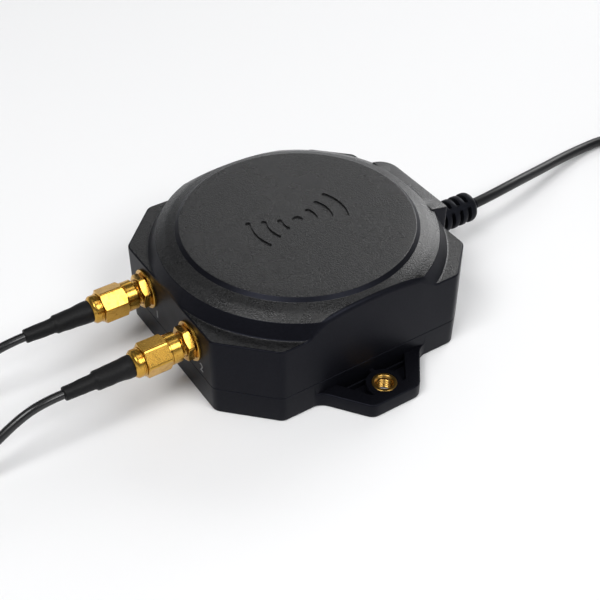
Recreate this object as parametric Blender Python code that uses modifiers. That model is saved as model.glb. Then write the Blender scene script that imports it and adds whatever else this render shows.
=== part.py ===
"""A GNSS receiver: an octagonal moulded housing on a base with two mounting ears, its board and
fasteners inside, two SMA antenna connections on one side and a cable on the other.

The receiver stands on z = 0 at the middle of its base. +X points to one mounting ear, -Y to the
antenna connectors, +Y to the cable.
"""

import math

import bmesh
import bpy
from mathutils import Vector

MM = 0.001
GAP = 0.3 * MM

# Housing
HALF_X = 34.0 * MM
FRONT_Y = -38.4 * MM
BACK_Y = 35.4 * MM
CHAMFER_REACH = 60.1 * MM  # x + y along each corner's chamfer
PAD_Z = 23.2 * MM
SPLIT_Z = 7.9 * MM
WALL = 2.2 * MM
CORNER_ROUND = 1.2 * MM
FOOT_ROUND = 1.0 * MM
GASKET_WIDTH = 0.9 * MM
GASKET_HEIGHT = 1.2 * MM
GASKET_INSET = 0.7 * MM

# Dome above the pads: rim disc, step, ring and steep band
DISC_R = 30.1 * MM
DISC_Z = 29.9 * MM
STEP_R = 31.4 * MM
RING_IN_Z = 28.4 * MM
RING_R = 36.6 * MM
RING_OUT_Z = 26.7 * MM
BAND_R = 38.9 * MM
DOME_SEGMENTS = 44

# Boss over the cable exit
BOSS_HALF_X = 13.3 * MM
BOSS_Y = 39.0 * MM

# Mounting ears
EAR_X = 45.2 * MM
EAR_Z = 4.3 * MM
EAR_ROOT_HALF = 15.6 * MM
EAR_TIP_HALF = 7.0 * MM
EAR_ROUND = 3.0 * MM
EAR_POCKET_Z = 1.8 * MM
EAR_RIM = 3.6 * MM
EAR_RIB = (34.95 * MM, 35.45 * MM)
EAR_RIB_Z = 3.2 * MM
INSERT_X = 39.6 * MM
INSERT_R = 3.2 * MM
INSERT_BORE_R = 2.1 * MM
INSERT_BOSS_R = 4.7 * MM

# Screws
SCREW_REACH = 26.3 * MM
SCREW_POST_R = 3.3 * MM
SCREW_R = 1.2 * MM
SCREW_HEAD_R = 2.3 * MM
SCREW_HEAD_H = 1.6 * MM
SCREW_TOP_Z = 15.5 * MM
HEAD_SEAT_Z = 2.6 * MM
HEAD_WELL_R = 2.7 * MM

# Board and what stands on it
BOARD_Z = 4.7 * MM
BOARD_T = 1.6 * MM
BOARD_TOP = BOARD_Z + BOARD_T
BOARD_HALF_X = 30.0 * MM
BOARD_FRONT_Y = -34.6 * MM
BOARD_BACK_Y = 29.0 * MM
BOARD_REACH = 46.0 * MM
STANDOFF_X = 24.0 * MM
STANDOFF_Y = 14.5 * MM
STANDOFF_R = 2.6 * MM
BOARD_SCREW_R = 0.9 * MM
BOARD_SCREW_HEAD_R = 1.8 * MM
BOARD_SCREW_HEAD_H = 1.2 * MM

# Antenna connectors
SMA_X = 11.6 * MM
SMA_Z = 16.2 * MM
THREAD_R = 3.1 * MM
WALL_HOLE_R = 3.4 * MM
HEX_R = 8.0 * MM / math.sqrt(3.0)
WASHER_R = 5.3 * MM
WASHER_T = 0.6 * MM
JAM_NUT_T = 2.0 * MM
COLLAR_START = 4.0 * MM  # distances out from the front wall
HEX_START = 7.0 * MM
HEX_END = 13.5 * MM
FERRULE_END = 16.0 * MM
SHRINK_STEP = 26.1 * MM
SHRINK_END = 32.6 * MM
COLLAR_R = 3.9 * MM
NUT_BORE_R = 3.4 * MM
SHRINK_R = 2.5 * MM
SHRINK_SMALL_R = 1.75 * MM

# Leads and cable
LEAD_R = 1.15 * MM
LEAD_COIL_R = 13.5 * MM
LEAD_COIL_HALF_WIDTH = 4.3 * MM
LEAD_COIL_HEIGHT = 9.6 * MM
LEAD_COIL_1 = (-31.85 * MM, -124.0 * MM)
LEAD_COIL_2 = (30.85 * MM, -128.0 * MM)
LEAD_POINT_SPACING = 5.0 * MM
END_LENGTH = 19.6 * MM
END_HEX_R = 4.4 * MM
END_SLEEVE_R = 1.8 * MM
END_TURN = 0.2
CABLE_R = 1.55 * MM
CABLE_Z = 10.5 * MM
CABLE_COIL_R = 17.0 * MM
CABLE_COIL_HALF_WIDTH = 6.3 * MM
CABLE_COIL_HEIGHT = 12.8 * MM
CABLE_COIL = (-8.0 * MM, 173.0 * MM)
RELIEF_R = 4.35 * MM
RELIEF_END_Y = 61.0 * MM
RELIEF_GROOVES = 5
CABLE_POINT_SPACING = 7.0 * MM
USB_BOOT = (26.0 * MM, 15.6 * MM, 8.0 * MM)
USB_NECK_R = 2.6 * MM
USB_NECK_LENGTH = 14.6 * MM
USB_SHELL = (12.0 * MM, 12.0 * MM, 4.5 * MM)
USB_SHELL_WALL = 0.35 * MM

COLLECTION = "gnss_receiver"
CUTTERS = "cutters"

BLACK = (0.028, 0.029, 0.031)
DARK = (0.012, 0.012, 0.013)
GOLD = (0.78, 0.52, 0.13)
BRASS = (0.70, 0.47, 0.16)
STEEL = (0.55, 0.55, 0.56)
GREEN = (0.02, 0.16, 0.07)


# ---------------------------------------------------------------- scene and small tools

def clear_scene():
    for thing in list(bpy.data.objects):
        bpy.data.objects.remove(thing, do_unlink=True)


def new_collection(name):
    collection = bpy.data.collections.new(name)
    bpy.context.scene.collection.children.link(collection)
    return collection


def material(name, colour, roughness=0.5, metallic=0.0):
    found = bpy.data.materials.get(name)
    if found:
        return found
    made = bpy.data.materials.new(name)
    made.use_nodes = True
    shader = made.node_tree.nodes["Principled BSDF"]
    shader.inputs["Base Color"].default_value = (*colour, 1.0)
    shader.inputs["Roughness"].default_value = roughness
    shader.inputs["Metallic"].default_value = metallic
    return made


def place(obj, collection_name):
    for collection in list(obj.users_collection):
        collection.objects.unlink(obj)
    bpy.data.collections[collection_name].objects.link(obj)
    return obj


def part(obj, name, look, smooth_angle=None):
    """Names a finished sub-part, gives it its material and puts it in the object's collection."""
    obj.name = name
    obj.data.name = name
    obj.data.materials.clear()
    obj.data.materials.append(material(name + "_look", *look))
    if smooth_angle is not None:
        obj.data.shade_smooth()
        obj.data.set_sharp_from_angle(angle=math.radians(smooth_angle))
    return place(obj, COLLECTION)


def cutter(obj):
    obj.hide_render = True
    obj.display_type = "WIRE"
    return place(obj, CUTTERS)


def to_mesh(obj):
    """Swaps a curve for its mesh, with its caps welded."""
    graph = bpy.context.evaluated_depsgraph_get()
    mesh = bpy.data.meshes.new_from_object(obj.evaluated_get(graph))
    shape = bmesh.new()
    shape.from_mesh(mesh)
    bmesh.ops.remove_doubles(shape, verts=shape.verts, dist=0.00001)
    bmesh.ops.recalc_face_normals(shape, faces=shape.faces)
    shape.to_mesh(mesh)
    shape.free()
    made = bpy.data.objects.new(obj.name, mesh)
    bpy.context.scene.collection.objects.link(made)
    made.matrix_world = obj.matrix_world
    bpy.data.objects.remove(obj, do_unlink=True)
    return made


def combine(obj, tool, operation):
    step = obj.modifiers.new(operation.lower(), "BOOLEAN")
    step.operation = operation
    step.solver = "EXACT"
    step.object = tool
    return obj


def cut(obj, *tools):
    for tool in tools:
        combine(obj, cutter(tool), "DIFFERENCE")
    return obj


def join(obj, *tools):
    for tool in tools:
        combine(obj, cutter(tool), "UNION")
    return obj


def box(name, low, high):
    low = Vector(low)
    high = Vector(high)
    bpy.ops.mesh.primitive_cube_add(size=1.0, location=(low + high) / 2.0)
    made = bpy.context.object
    made.name = name
    made.scale = high - low
    bpy.ops.object.transform_apply(location=False, rotation=False, scale=True)
    return made


def rod(name, start, end, radius, segments=20):
    """A cylinder, or a prism, between two points."""
    start = Vector(start)
    end = Vector(end)
    bpy.ops.mesh.primitive_cylinder_add(
        vertices=segments, radius=radius, depth=(end - start).length, location=(start + end) / 2.0
    )
    made = bpy.context.object
    made.name = name
    made.rotation_euler = (end - start).to_track_quat("Z", "Y").to_euler()
    return made


def turned(name, profile, origin, direction=(0, 0, 1), segments=24):
    """A closed solid of revolution; profile is (radius, height) from the top down its outer side."""
    mesh = bpy.data.meshes.new(name)
    shape = bmesh.new()
    points = [shape.verts.new((radius, 0.0, height)) for radius, height in profile]
    for first, second in zip(points, points[1:]):
        shape.edges.new((first, second))
    if profile[0][0] > 0.0:
        shape.edges.new((points[-1], points[0]))
    shape.to_mesh(mesh)
    shape.free()
    made = bpy.data.objects.new(name, mesh)
    bpy.context.scene.collection.objects.link(made)
    spin = made.modifiers.new("turn", "SCREW")
    spin.steps = segments
    spin.render_steps = segments
    spin.use_merge_vertices = True
    spin.merge_threshold = 0.00001
    made.location = origin
    made.rotation_euler = Vector(direction).to_track_quat("Z", "Y").to_euler()
    return made


def outline_plate(name, outline, low, high, holes=()):
    """A flat outline, with any holes, made a solid between two heights."""
    curve = bpy.data.curves.new(name, "CURVE")
    curve.dimensions = "2D"
    curve.fill_mode = "BOTH"
    curve.extrude = (high - low) / 2.0
    for loop in (outline, *holes):
        spline = curve.splines.new("POLY")
        spline.points.add(len(loop) - 1)
        spline.use_cyclic_u = True
        for point, (x, y) in zip(spline.points, loop):
            point.co = (x, y, 0.0, 1.0)
    flat = bpy.data.objects.new(name, curve)
    flat.location.z = (low + high) / 2.0
    bpy.context.scene.collection.objects.link(flat)
    bpy.context.view_layer.update()
    return to_mesh(flat)


def rounded(outline, radius, steps=3):
    """The outline with each corner turned into a short arc tangent to both of its sides."""
    points = []
    for i, corner in enumerate(outline):
        corner = Vector(corner)
        before = (Vector(outline[i - 1]) - corner).normalized()
        after = (Vector(outline[(i + 1) % len(outline)]) - corner).normalized()
        half = before.angle(after) / 2.0
        back = radius / math.tan(half)
        centre = corner + (before + after).normalized() * (radius / math.sin(half))
        start = corner + before * back - centre
        end = corner + after * back - centre
        sweep = start.angle_signed(end)
        for step in range(steps + 1):
            turn = -sweep * step / steps
            x = start.x * math.cos(turn) - start.y * math.sin(turn)
            y = start.x * math.sin(turn) + start.y * math.cos(turn)
            points.append((centre.x + x, centre.y + y))
    return points


def round_edges(obj, width, height):
    """Rounds the mesh edges that lie at one height."""
    mesh = obj.data
    weights = mesh.attributes.new("bevel_weight_edge", "FLOAT", "EDGE")
    for edge in mesh.edges:
        ends = [mesh.vertices[i].co.z + obj.location.z for i in edge.vertices]
        if all(abs(z - height) < 0.00001 for z in ends):
            weights.data[edge.index].value = 1.0
    bevel = obj.modifiers.new("round", "BEVEL")
    bevel.limit_method = "WEIGHT"
    bevel.width = width
    bevel.segments = 2
    return obj


def smooth_route(points, spacing):
    """Evenly spaced points on a Catmull-Rom curve through the route's own points."""
    route = [Vector(p) for p in points]
    route = [route[0] * 2.0 - route[1]] + route + [route[-1] * 2.0 - route[-2]]
    dense = []
    for a, b, c, d in zip(route, route[1:], route[2:], route[3:]):
        for i in range(24):
            t = i / 24.0
            dense.append(
                0.5 * (2.0 * b + (c - a) * t + (2.0 * a - 5.0 * b + 4.0 * c - d) * t ** 2
                       + (3.0 * b - a - 3.0 * c + d) * t ** 3)
            )
    dense.append(route[-2])
    length = sum((q - p).length for p, q in zip(dense, dense[1:]))
    count = max(2, round(length / spacing))
    made = [dense[0]]
    walked = 0.0
    for p, q in zip(dense, dense[1:]):
        step = (q - p).length
        while step > 0.0 and len(made) * length / count <= walked + step and len(made) < count:
            made.append(p.lerp(q, (len(made) * length / count - walked) / step))
        walked += step
    made.append(dense[-1])
    return made


def tube(name, points, radius, spacing, sides_resolution=2):
    curve = bpy.data.curves.new(name, "CURVE")
    curve.dimensions = "3D"
    curve.bevel_depth = radius
    curve.bevel_resolution = sides_resolution
    curve.use_fill_caps = True
    route = smooth_route(points, spacing)
    spline = curve.splines.new("POLY")
    spline.points.add(len(route) - 1)
    for point, co in zip(spline.points, route):
        point.co = (*co, 1.0)
    made = bpy.data.objects.new(name, curve)
    bpy.context.scene.collection.objects.link(made)
    return made


# ---------------------------------------------------------------- outlines shared by both shells

def octagon(half_x, front, back, reach):
    return [
        (half_x, -(reach - half_x)),
        (half_x, reach - half_x),
        (reach - back, back),
        (-(reach - back), back),
        (-half_x, reach - half_x),
        (-half_x, -(reach - half_x)),
        (-(reach + front), front),
        (reach + front, front),
    ]


def housing_outline(inset=0.0):
    """The octagon with the boss on its back wall; an inset moves every wall inwards."""
    loop = octagon(HALF_X - inset, FRONT_Y + inset, BACK_Y - inset, CHAMFER_REACH - inset * math.sqrt(2.0))
    boss = [
        (BOSS_HALF_X - inset, BACK_Y - inset),
        (BOSS_HALF_X - inset, BOSS_Y - inset),
        (-BOSS_HALF_X + inset, BOSS_Y - inset),
        (-BOSS_HALF_X + inset, BACK_Y - inset),
    ]
    return loop[:3] + boss + loop[3:]


def shell_outline():
    return rounded(housing_outline(), CORNER_ROUND, 2)


def inner_outline():
    return octagon(HALF_X - WALL, FRONT_Y + WALL, BACK_Y - WALL, CHAMFER_REACH - WALL * math.sqrt(2.0))


def screw_places():
    return [(sx * SCREW_REACH, sy * SCREW_REACH) for sx in (-1, 1) for sy in (-1, 1)]


def surround(name, inset, far):
    """The space outside the dome and above the pads, as a ring to cut away."""
    profile = [
        (DISC_R - inset - 0.8 * MM, DISC_Z + far),
        (far * 10.0, DISC_Z + far),
        (far * 10.0, PAD_Z - inset),
        (BAND_R - inset, PAD_Z - inset),
        (RING_R + 0.15 * MM - inset, RING_OUT_Z - 0.5 * MM - inset),
        (RING_R - 0.5 * MM - inset, RING_OUT_Z + 0.1 * MM - inset),
        (RING_R - 2.6 * MM - inset, RING_IN_Z - 0.6 * MM - inset),
        (STEP_R - inset, RING_IN_Z - inset),
        (DISC_R + 0.6 * MM - inset, DISC_Z - 0.7 * MM - inset),
        (DISC_R + 0.1 * MM - inset, DISC_Z - 0.15 * MM - inset),
        (DISC_R - 0.8 * MM - inset, DISC_Z - inset),
    ]
    return turned(name, profile, (0, 0, 0), segments=DOME_SEGMENTS)


# ---------------------------------------------------------------- housing

def relief_opening():
    """The way through the back wall for the strain relief, half in each shell."""
    return rod("relief_opening", (0, BACK_Y - 8.0 * MM, CABLE_Z), (0, BOSS_Y + 2.0 * MM, CABLE_Z), RELIEF_R + GAP)


def make_upper_housing():
    shell = outline_plate("upper_housing", shell_outline(), SPLIT_Z + GAP / 2.0, DISC_Z)
    outside = surround("outside_dome", 0.0, 6.0 * MM)
    keep_boss = box(
        "boss_block",
        (-BOSS_HALF_X, STEP_R - 6.0 * MM, PAD_Z - 1.0 * MM),
        (BOSS_HALF_X, BOSS_Y + 1.0 * MM, RING_OUT_Z),
    )
    cut(outside, keep_boss)
    cavity = outline_plate("inner_space", inner_outline(), SPLIT_Z - 1.0 * MM, DISC_Z - WALL)
    cut(cavity, surround("inside_dome", WALL, 4.0 * MM))
    cut(shell, outside, cavity)
    for i, (x, y) in enumerate(screw_places()):
        join(shell, rod(f"post_{i}", (x, y, SPLIT_Z + GAP / 2.0), (x, y, PAD_Z - WALL / 2.0), SCREW_POST_R, 16))
        cut(shell, rod(f"post_hole_{i}", (x, y, SPLIT_Z - 1.0 * MM), (x, y, SCREW_TOP_Z + 0.7 * MM),
                       SCREW_R + GAP, 12))
    for side in (-1, 1):
        cut(shell, rod(f"jack_hole_{side}", (side * SMA_X, FRONT_Y - 1.0 * MM, SMA_Z),
                       (side * SMA_X, FRONT_Y + 4.0 * MM, SMA_Z), WALL_HOLE_R, 24))
    cut(shell, relief_opening())
    return part(shell, "upper_housing", (BLACK, 0.55), 35)


def ear_outline(side):
    """One mounting ear, its slanted sides running in under the base."""
    root = HALF_X - 2.0 * MM
    slope = (EAR_ROOT_HALF - EAR_TIP_HALF) / (EAR_X - HALF_X)
    inner_half = EAR_ROOT_HALF + slope * (HALF_X - root)
    tips = rounded([
        (root, -inner_half),
        (EAR_X, -EAR_TIP_HALF),
        (EAR_X, EAR_TIP_HALF),
        (root, inner_half),
    ], EAR_ROUND * 0.6, 3)
    return [(side * x, y) for x, y in tips]


def ear_pocket(side, end):
    """The sunk space beside the insert's boss, towards one end of the ear."""
    slope = (EAR_ROOT_HALF - EAR_TIP_HALF) / (EAR_X - HALF_X)
    start = HALF_X + 0.4 * MM
    tip = EAR_X - EAR_RIM
    near = 0.6 * MM
    far = EAR_ROOT_HALF - EAR_RIM * math.hypot(1.0, slope)
    loop = [
        (side * start, end * near),
        (side * tip, end * near),
        (side * tip, end * (far - slope * (tip - HALF_X))),
        (side * start, end * (far - slope * (start - HALF_X))),
    ]
    return outline_plate("ear_pocket", loop, EAR_POCKET_Z, EAR_Z + 1.0 * MM)


def make_base_shell():
    top = SPLIT_Z - GAP / 2.0
    shell = outline_plate("base_shell", shell_outline(), 0.0, top)
    round_edges(shell, FOOT_ROUND, 0.0)
    cut(shell, outline_plate("base_space", inner_outline(), WALL, top + 1.0 * MM))
    for side in (-1, 1):
        join(shell, outline_plate(f"ear_{side}", ear_outline(side), 0.0, EAR_Z))
        for end in (-1, 1):
            pocket = ear_pocket(side, end)
            cut(pocket, rod("insert_boss", (side * INSERT_X, 0, 0), (side * INSERT_X, 0, EAR_Z + 2.0 * MM),
                            INSERT_BOSS_R, 24))
            cut(shell, pocket)
            near, far = sorted((end * 0.3 * MM, end * 11.0 * MM))
            left, right = sorted((side * EAR_RIB[0], side * EAR_RIB[1]))
            join(shell, box("ear_rib", (left, near, EAR_POCKET_Z - 0.5 * MM), (right, far, EAR_RIB_Z)))
        cut(shell, rod(f"insert_hole_{side}", (side * INSERT_X, 0, -1.0 * MM),
                       (side * INSERT_X, 0, EAR_Z + 1.0 * MM), INSERT_R + GAP / 2.0, 24))
    groove_outer = rounded(housing_outline(GASKET_INSET), 0.8 * MM, 2)
    groove_inner = rounded(housing_outline(GASKET_INSET + GASKET_WIDTH), 0.5 * MM, 2)
    cut(shell, outline_plate("gasket_groove", groove_outer, top - GASKET_HEIGHT, top + 1.0 * MM, [groove_inner]))
    for i, (x, y) in enumerate(screw_places()):
        join(shell, rod(f"base_post_{i}", (x, y, WALL / 2.0), (x, y, top), SCREW_POST_R, 16))
        cut(shell, rod(f"base_hole_{i}", (x, y, -1.0 * MM), (x, y, top + 1.0 * MM), SCREW_R + GAP, 12))
        cut(shell, rod(f"head_well_{i}", (x, y, -1.0 * MM), (x, y, HEAD_SEAT_Z), HEAD_WELL_R, 16))
    for sx in (-1, 1):
        for sy in (-1, 1):
            x = sx * STANDOFF_X
            y = sy * STANDOFF_Y
            join(shell, rod("standoff", (x, y, WALL / 2.0), (x, y, BOARD_Z - GAP), STANDOFF_R, 12))
    for sx in (-1, 1):
        for sy in (-1, 1):
            x = sx * STANDOFF_X
            y = sy * STANDOFF_Y
            cut(shell, rod("standoff_hole", (x, y, WALL / 2.0), (x, y, BOARD_Z + 1.0 * MM), BOARD_SCREW_R + GAP, 8))
    cut(shell, relief_opening())
    return part(shell, "base_shell", (BLACK, 0.45), 35)


def make_gasket():
    top = SPLIT_Z - GAP / 2.0
    outer = rounded(housing_outline(GASKET_INSET + 0.15 * MM), 0.7 * MM, 2)
    inner = rounded(housing_outline(GASKET_INSET + GASKET_WIDTH - 0.15 * MM), 0.6 * MM, 2)
    gasket = outline_plate("housing_gasket", outer, top - GASKET_HEIGHT + 0.15 * MM, top, [inner])
    cut(gasket, relief_opening())
    return part(gasket, "housing_gasket", (DARK, 0.8))


def make_housing_screws():
    for i, (x, y) in enumerate(screw_places(), 1):
        seat = HEAD_SEAT_Z - GAP
        profile = [
            (0.0, SCREW_TOP_Z),
            (SCREW_R * 0.5, SCREW_TOP_Z),
            (SCREW_R, SCREW_TOP_Z - 1.0 * MM),
            (SCREW_R, seat),
            (SCREW_HEAD_R, seat),
            (SCREW_HEAD_R, seat - SCREW_HEAD_H),
            (1.1 * MM, seat - SCREW_HEAD_H),
            (0.9 * MM, seat - SCREW_HEAD_H * 0.4),
            (0.0, seat - SCREW_HEAD_H * 0.4),
        ]
        screw = turned(f"housing_screw_{i}", profile, (x, y, 0), segments=12)
        part(screw, f"housing_screw_{i}", (STEEL, 0.3, 1.0), 35)


def make_inserts():
    for side, name in ((1, "mount_insert_right"), (-1, "mount_insert_left")):
        low = 0.2 * MM
        top = EAR_Z + 0.1 * MM
        profile = [
            (INSERT_BORE_R + 0.35 * MM, top),
            (INSERT_R, top),
            (INSERT_R, low),
            (INSERT_BORE_R, low),
            (INSERT_BORE_R, top - 0.35 * MM),
        ]
        insert = turned(name, profile, (side * INSERT_X, 0, 0), segments=24)
        part(insert, name, (BRASS, 0.3, 1.0), 35)


# ---------------------------------------------------------------- board

def make_board():
    loop = octagon(BOARD_HALF_X, BOARD_FRONT_Y, BOARD_BACK_Y, BOARD_REACH)
    board = outline_plate("main_board", loop, BOARD_Z, BOARD_TOP)
    for sx in (-1, 1):
        for sy in (-1, 1):
            x = sx * STANDOFF_X
            y = sy * STANDOFF_Y
            cut(board, rod("board_hole", (x, y, BOARD_Z - MM), (x, y, BOARD_TOP + MM), BOARD_SCREW_R + GAP, 12))
    return part(board, "main_board", (GREEN, 0.4))


def make_board_screws():
    places = [(sx * STANDOFF_X, sy * STANDOFF_Y) for sx in (-1, 1) for sy in (-1, 1)]
    for i, (x, y) in enumerate(places, 1):
        seat = BOARD_TOP + GAP
        profile = [
            (0.0, seat + BOARD_SCREW_HEAD_H * 0.5),
            (0.6 * MM, seat + BOARD_SCREW_HEAD_H * 0.5),
            (0.8 * MM, seat + BOARD_SCREW_HEAD_H),
            (BOARD_SCREW_HEAD_R, seat + BOARD_SCREW_HEAD_H),
            (BOARD_SCREW_HEAD_R, seat),
            (BOARD_SCREW_R, seat),
            (BOARD_SCREW_R, WALL),
            (0.0, WALL),
        ]
        screw = turned(f"board_screw_{i}", profile, (x, y, 0), segments=10)
        part(screw, f"board_screw_{i}", (STEEL, 0.3, 1.0), 35)


def chip(name, centre, size, look, bevel=0.0):
    """A component body that sits on the board."""
    x, y = centre
    low = (x - size[0] / 2.0, y - size[1] / 2.0, BOARD_TOP + GAP)
    high = (x + size[0] / 2.0, y + size[1] / 2.0, BOARD_TOP + GAP + size[2])
    body = box(name, low, high)
    if bevel:
        edge = body.modifiers.new("edge", "BEVEL")
        edge.width = bevel
        edge.segments = 1
    return part(body, name, look)


def make_components():
    chip("gnss_module", (0.0, 0.0), (22.0 * MM, 17.0 * MM, 0.8 * MM), (GREEN, 0.4))
    low = BOARD_TOP + 2.0 * GAP + 0.8 * MM
    shield = box("module_shield", (-10.0 * MM, -7.5 * MM, low), (10.0 * MM, 7.5 * MM, low + 2.0 * MM))
    edge = shield.modifiers.new("edge", "BEVEL")
    edge.width = 0.4 * MM
    edge.segments = 1
    part(shield, "module_shield", (STEEL, 0.3, 1.0))
    chip("processor_chip", (0.0, 16.5 * MM), (7.0 * MM, 7.0 * MM, 0.9 * MM), (DARK, 0.5), 0.15 * MM)
    chip("motion_sensor_chip", (12.0 * MM, 15.0 * MM), (3.0 * MM, 3.0 * MM, 0.9 * MM), (DARK, 0.5), 0.1 * MM)
    chip("flash_chip", (-12.0 * MM, 15.0 * MM), (5.0 * MM, 4.0 * MM, 0.9 * MM), (DARK, 0.5), 0.1 * MM)
    chip("power_inductor", (18.5 * MM, 22.0 * MM), (4.0 * MM, 4.0 * MM, 2.1 * MM), (DARK, 0.6), 0.4 * MM)
    chip("reference_oscillator", (-15.0 * MM, -3.0 * MM), (2.5 * MM, 2.0 * MM, 0.8 * MM), (STEEL, 0.3, 1.0))
    base = BOARD_TOP + GAP
    for name, x in (("bulk_capacitor_1", 13.5 * MM), ("bulk_capacitor_2", -18.0 * MM)):
        body = rod(name, (x, 23.5 * MM, base), (x, 23.5 * MM, base + 5.4 * MM), 2.0 * MM, 16)
        part(body, name, (STEEL, 0.35, 1.0), 35)
    cell = turned("backup_cell", [
        (0.0, base + 2.1 * MM),
        (3.0 * MM, base + 2.1 * MM),
        (3.4 * MM, base + 1.7 * MM),
        (3.4 * MM, base),
        (0.0, base),
    ], (20.0 * MM, 0.0, 0.0), segments=20)
    part(cell, "backup_cell", (STEEL, 0.3, 1.0), 35)


def make_board_connector():
    """The cable's plug stands in an open header at the board's back edge."""
    low = BOARD_TOP + GAP
    header = box("board_connector", (-5.5 * MM, 21.6 * MM, low), (5.5 * MM, 26.2 * MM, low + 4.2 * MM))
    cut(header, box("header_space", (-4.6 * MM, 22.5 * MM, low + 1.0 * MM), (4.6 * MM, 25.3 * MM, low + 6.0 * MM)))
    part(header, "board_connector", ((0.75, 0.72, 0.65), 0.5))
    plug = box("cable_plug", (-4.3 * MM, 22.8 * MM, low + 1.3 * MM), (4.3 * MM, 25.0 * MM, low + 5.2 * MM))
    part(plug, "cable_plug", ((0.75, 0.72, 0.65), 0.5))
    colours = (("power_wire", (0.5, 0.02, 0.02)), ("ground_wire", DARK),
               ("data_wire_a", (0.02, 0.25, 0.05)), ("data_wire_b", (0.7, 0.7, 0.68)))
    plug_top = low + 5.2 * MM
    for i, (name, colour) in enumerate(colours):
        x = (i - 1.5) * 2.0 * MM
        spread = (i - 1.5) * 0.75 * MM
        route = [
            (x, 23.9 * MM, plug_top + GAP),
            (x, 23.9 * MM, plug_top + 1.1 * MM),
            (x * 0.8, 25.3 * MM, plug_top + 1.6 * MM),
            (spread * 1.2, 28.0 * MM, CABLE_Z + 0.6 * MM),
            (spread, 30.2 * MM, CABLE_Z),
        ]
        part(tube(name, route, 0.3 * MM, 1.2 * MM, 1), name, (colour, 0.5))


# ---------------------------------------------------------------- antenna connectors

def along_front(distance):
    """The y of a point that far out from the front wall."""
    return FRONT_Y - distance


def out_turned(name, side, profile, segments=24):
    """Turned about an antenna connector's axis; heights are distances out from the front wall."""
    return turned(name, profile, (side * SMA_X, FRONT_Y, SMA_Z), (0, -1, 0), segments)


def hex_prism(name, side, start, end, radius=HEX_R, turn=0.0):
    made = rod(name, (side * SMA_X, along_front(start), SMA_Z), (side * SMA_X, along_front(end), SMA_Z), radius, 6)
    made.rotation_euler.rotate_axis("Z", turn)
    return made


def make_jack(side, number):
    inner = -WALL - GAP
    jack = out_turned(f"sma_jack_{number}", side, [
        (2.35 * MM, 9.6 * MM),
        (THREAD_R - 0.3 * MM, 9.6 * MM),
        (THREAD_R, 9.3 * MM),
        (THREAD_R, inner),
        (4.6 * MM, inner),
        (4.6 * MM, inner - 1.6 * MM),
        (2.9 * MM, inner - 1.6 * MM),
        (2.9 * MM, inner - 4.0 * MM),
        (2.2 * MM, inner - 4.0 * MM),
        (2.2 * MM, 6.0 * MM),
        (2.35 * MM, 6.0 * MM),
    ], 18)
    part(jack, f"sma_jack_{number}", (GOLD, 0.25, 1.0), 35)
    insulator = out_turned(f"sma_insulator_{number}", side, [
        (0.9 * MM, 6.0 * MM),
        (1.9 * MM, 6.0 * MM),
        (1.9 * MM, inner - 4.0 * MM),
        (0.9 * MM, inner - 4.0 * MM),
    ], 16)
    part(insulator, f"sma_insulator_{number}", ((0.85, 0.85, 0.82), 0.5), 35)
    contact = rod(f"sma_contact_{number}", (side * SMA_X, along_front(5.7 * MM), SMA_Z),
                  (side * SMA_X, along_front(inner - 4.0 * MM), SMA_Z), 0.6 * MM, 10)
    part(contact, f"sma_contact_{number}", (GOLD, 0.25, 1.0), 35)


def make_wall_hardware(side, number):
    washer = out_turned(f"sma_washer_{number}", side, [
        (WALL_HOLE_R, GAP + WASHER_T),
        (WASHER_R, GAP + WASHER_T),
        (WASHER_R, GAP),
        (WALL_HOLE_R, GAP),
    ])
    part(washer, f"sma_washer_{number}", (GOLD, 0.25, 1.0), 35)
    start = 2.0 * GAP + WASHER_T
    nut = hex_prism(f"sma_jam_nut_{number}", side, start, start + JAM_NUT_T, HEX_R, 0.3)
    cut(nut, rod("jam_bore", (side * SMA_X, along_front(0), SMA_Z),
                 (side * SMA_X, along_front(5.0 * MM), SMA_Z), WALL_HOLE_R, 20))
    part(nut, f"sma_jam_nut_{number}", (GOLD, 0.25, 1.0), 35)


def make_coupling_nut(side, number, turn):
    """Hexagon with a round collar; its bore narrows at the rear to hold the plug body's flange."""
    collar = out_turned(f"coupling_nut_{number}", side, [
        (0.0, HEX_START + 0.5 * MM),
        (COLLAR_R, HEX_START + 0.5 * MM),
        (COLLAR_R, COLLAR_START),
        (0.0, COLLAR_START),
    ])
    join(collar, hex_prism("coupling_hex", side, HEX_START, HEX_END, HEX_R, turn))
    bore = out_turned("coupling_bore", side, [
        (0.0, HEX_END + MM),
        (2.95 * MM, HEX_END + MM),
        (2.95 * MM, HEX_END - 1.7 * MM),
        (NUT_BORE_R, HEX_END - 1.7 * MM),
        (NUT_BORE_R, COLLAR_START - MM),
        (0.0, COLLAR_START - MM),
    ])
    cut(collar, bore)
    return part(collar, f"coupling_nut_{number}", (GOLD, 0.25, 1.0), 35)


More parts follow.
